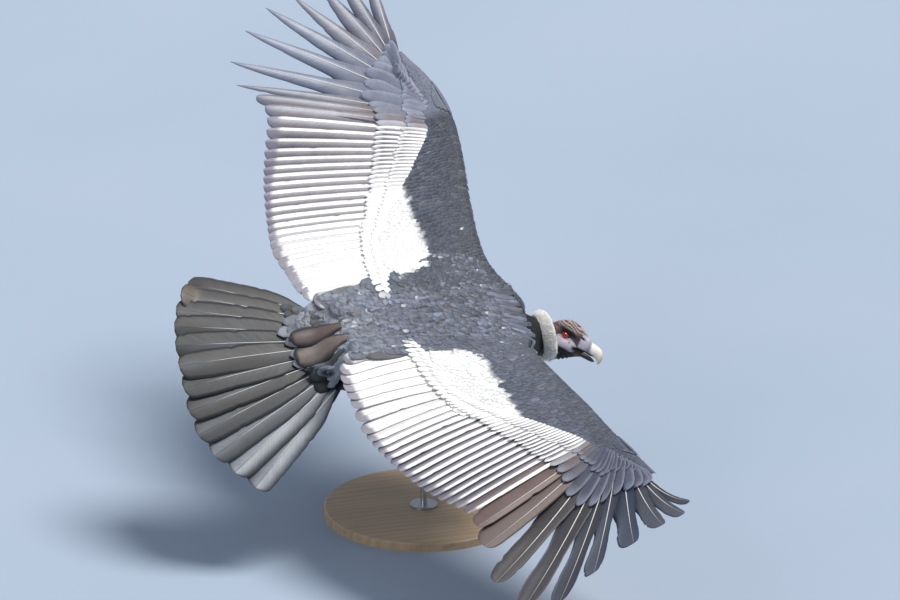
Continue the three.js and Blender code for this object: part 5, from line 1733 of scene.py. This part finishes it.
def feet():
    scales, claw_look = foot_materials()
    for name, sign in (("left", 1), ("right", -1)):
        solids = [loft("shank_form", tube_rings(limb_way(mirrored(LEG[2:], sign), 10), 20))]
        claws = []
        for toe in TOES:
            rows = np.array(mirrored(toe, sign), float)
            curve = through(np.c_[np.arange(len(rows)), rows])
            way = curve(np.linspace(0, len(rows) - 1.25, 40))
            # Scutes swell the toe in rings.
            run = np.cumsum(np.r_[0, np.linalg.norm(np.diff(way[:, :3], axis=0), axis=1)])
            way[:, 3] *= 1 + 0.07 * np.sin(run * 1.25)
            solids.append(loft("toe_form", tube_rings(way, 16)))
            hook = curve(np.linspace(len(rows) - 1.45, len(rows) - 1, 16))
            hook[:, 3] = np.linspace(3.6, 0.4, 16) * rows[-2, 3] / 4.5
            hook[:, 2] += 3 * np.sin(np.linspace(0, np.pi, 16))
            claws.append(loft("claw_form", to_world(tube_rings(hook, 12))))
        o = welded(f"toes_{name}", solids, 1.5, 2)
        local = points_of(o)
        set_points(o, to_world(local))
        grey = mix(linear(120, 116, 110), linear(86, 80, 76), step(-0.5, 0.8, np.sin(local[:, 0] * 0.9)))
        put(o.data, "tone", "FLOAT_COLOR", "POINT", "color", np.c_[grey, np.ones(len(grey))])
        shade_smooth(o)
        o.data.materials.clear()
        o.data.materials.append(scales)
        finished(o, [f"foot_{name}"])
        claw = joined(f"claws_{name}", claws)
        shade_smooth(claw)
        claw.data.materials.append(claw_look)
        finished(claw)


def leg_feathers():
    """Short feathers down the thighs."""
    coat = Coat()
    for sign in (1, -1):
        rows = np.array(mirrored(LEG, sign), float)
        way = through(np.c_[np.arange(len(rows)), rows])
        for rank, t in enumerate(np.linspace(3.3, 0, 16)):
            point, ahead = way(np.array([t]))[0], way(np.array([t + 0.1]))[0]
            along = unit(ahead[:3] - point[:3])
            side = unit(np.cross(along, [0, 0, 1.0]))
            n = max(int(point[3] * 0.7), 8)
            turn = 2 * np.pi * (np.arange(n) + 0.5 * (rank % 2)) / n
            normals = side * np.cos(turn)[:, None] + np.cross(side, along) * np.sin(turn)[:, None]
            roots = point[:3] + normals * (point[3] - 1)
            size = np.full(n, 24.0) * (0.6 + point[3] / 40)
            colour = SLATE_DARK * (1.2 + draw.normal(0, 0.2, (n, 1)))
            edge = mix(colour, SLATE, np.full(n, 0.4))
            base = np.stack([np.full(n, 0.1 + t / 5), turn / 14 + (0.5 if sign > 0 else 0.02)], 1)
            lie = np.tile(along, (n, 1))
            over_feathers(coat, roots, lie, normals, size, size * 0.3, np.full(n, 0.16), colour, edge, base)
    return coat.build("leg_feathers", [body_look])


feet()
leg_feathers()

# Stand


def stretched(n, place, scale):
    return n.node("ShaderNodeMapping", {"Vector": place, "Scale": scale}).outputs[0]


def stand():
    n = Nodes("oak")
    place = n.node("ShaderNodeTexCoord").outputs["Object"]
    long_grain = stretched(n, place, (1.2, 9.0, 9.0))
    warp = n.noise(long_grain, 2.4, 4.0, 0.6)
    wave = {"Vector": long_grain, "Scale": 1.6, "Distortion": 7.0, "Detail": 3.0}
    rings = n.node("ShaderNodeTexWave", wave, bands_direction="Y").outputs[1]
    pores = n.noise(stretched(n, place, (8.0, 260.0, 60.0)), 1.0, 4.0, 0.7)
    tone = n.math("MULTIPLY_ADD", rings, 0.3, n.math("MULTIPLY", warp, 0.8))
    colour = n.ramp(tone, [(0.15, linear(166, 138, 106)), (0.85, linear(190, 164, 130))])
    dark = n.math("MULTIPLY", n.math("GREATER_THAN", pores, 0.62), 0.3)
    colour = n.blend(dark, colour, (0.16, 0.11, 0.07, 1))
    oak = n.finish(colour, n.math("MULTIPLY_ADD", pores, 0.25, 0.35), pores, 0.2, 0.0006, Coat_Weight=0.15)
    n = Nodes("brushed_steel")
    place = n.node("ShaderNodeTexCoord").outputs["Object"]
    brushed = n.noise(stretched(n, place, (60.0, 60.0, 900.0)), 1.0, 3.0)
    colour = n.ramp(brushed, [(0.2, (0.42, 0.43, 0.44)), (0.8, (0.6, 0.61, 0.62))])
    rough = n.math("MULTIPLY_ADD", brushed, 0.2, 0.24)
    steel = n.finish(colour, rough, brushed, 0.15, 0.0002, Metallic=1.0)
    for name, look in (("stand_base", oak), ("stand_rod", steel)):
        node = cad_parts[name]
        node.data.materials.clear()
        node.data.materials.append(look)


stand()

# Floor, light and camera

KEY_STRENGTH = 3.35
KEY_SPREAD = 26
FILL_STRENGTH = 0.75
FILL_SPREAD = 40
SKY_STRENGTH = 0.46
FLOOR_HALF_WIDTH = 400.0


def lamp(name, direction, strength, spread, colour):
    """A broad far light from one direction."""
    data = bpy.data.lights.new(name, "SUN")
    data.energy = strength
    data.angle = math.radians(spread)
    data.color = colour
    o = bpy.data.objects.new(name, data)
    bpy.context.scene.collection.objects.link(o)
    o.rotation_mode = "QUATERNION"
    o.rotation_quaternion = Vector(direction).to_track_quat("Z", "Y")


def studio():
    middle = to_world(np.zeros((1, 3)))[0]
    size = FLOOR_HALF_WIDTH
    corners = [(-size, -size, 0), (size, -size, 0), (size, size, 0), (-size, size, 0)]
    floor = new_mesh("floor", corners, [[0, 1, 2, 3]])
    n = Nodes("floor")
    cloud = n.noise(n.node("ShaderNodeTexCoord").outputs["Object"], 0.8, 2.0)
    colour = n.ramp(cloud, [(0.3, linear(157, 171, 188)), (0.7, linear(163, 175, 192))])
    floor.data.materials.append(n.finish(colour, 0.9))
    world = bpy.context.scene.world or bpy.data.worlds.new("world")
    bpy.context.scene.world = world
    world.use_nodes = True
    background = world.node_tree.nodes["Background"]
    background.inputs[0].default_value = (*linear(204, 216, 236), 1)
    background.inputs[1].default_value = SKY_STRENGTH
    image_right = np.cross(IMAGE_UP, TO_CAMERA)
    from_above = 0.45 * image_right + 1.0 * IMAGE_UP + 0.42 * TO_CAMERA
    lamp("key", from_above, KEY_STRENGTH, KEY_SPREAD, (1.0, 0.98, 0.94))
    from_left = -0.9 * image_right + 0.3 * IMAGE_UP + 1.0 * TO_CAMERA
    lamp("fill", from_left, FILL_STRENGTH, FILL_SPREAD, (0.92, 0.95, 1.0))

    data = bpy.data.cameras.new("camera")
    camera = bpy.data.objects.new("camera", data)
    bpy.context.scene.collection.objects.link(camera)
    data.lens = LENS
    data.sensor_width = 36
    data.clip_start, data.clip_end = 0.5, 2000
    across = (PHOTO_SIZE[0] / 2 - MIDDLE_PIXEL[0]) / PIXELS_PER_METRE
    upward = (MIDDLE_PIXEL[1] - PHOTO_SIZE[1] / 2) / PIXELS_PER_METRE
    aim = middle + across * image_right + upward * IMAGE_UP
    turn = Matrix(np.stack([image_right, IMAGE_UP, TO_CAMERA], 1).tolist())
    camera.matrix_world = Matrix.Translation(Vector(aim + DISTANCE * TO_CAMERA)) @ turn.to_4x4()
    bpy.context.scene.camera = camera


studio()

view_settings = bpy.context.scene.view_settings
view_settings.view_transform = "Standard"
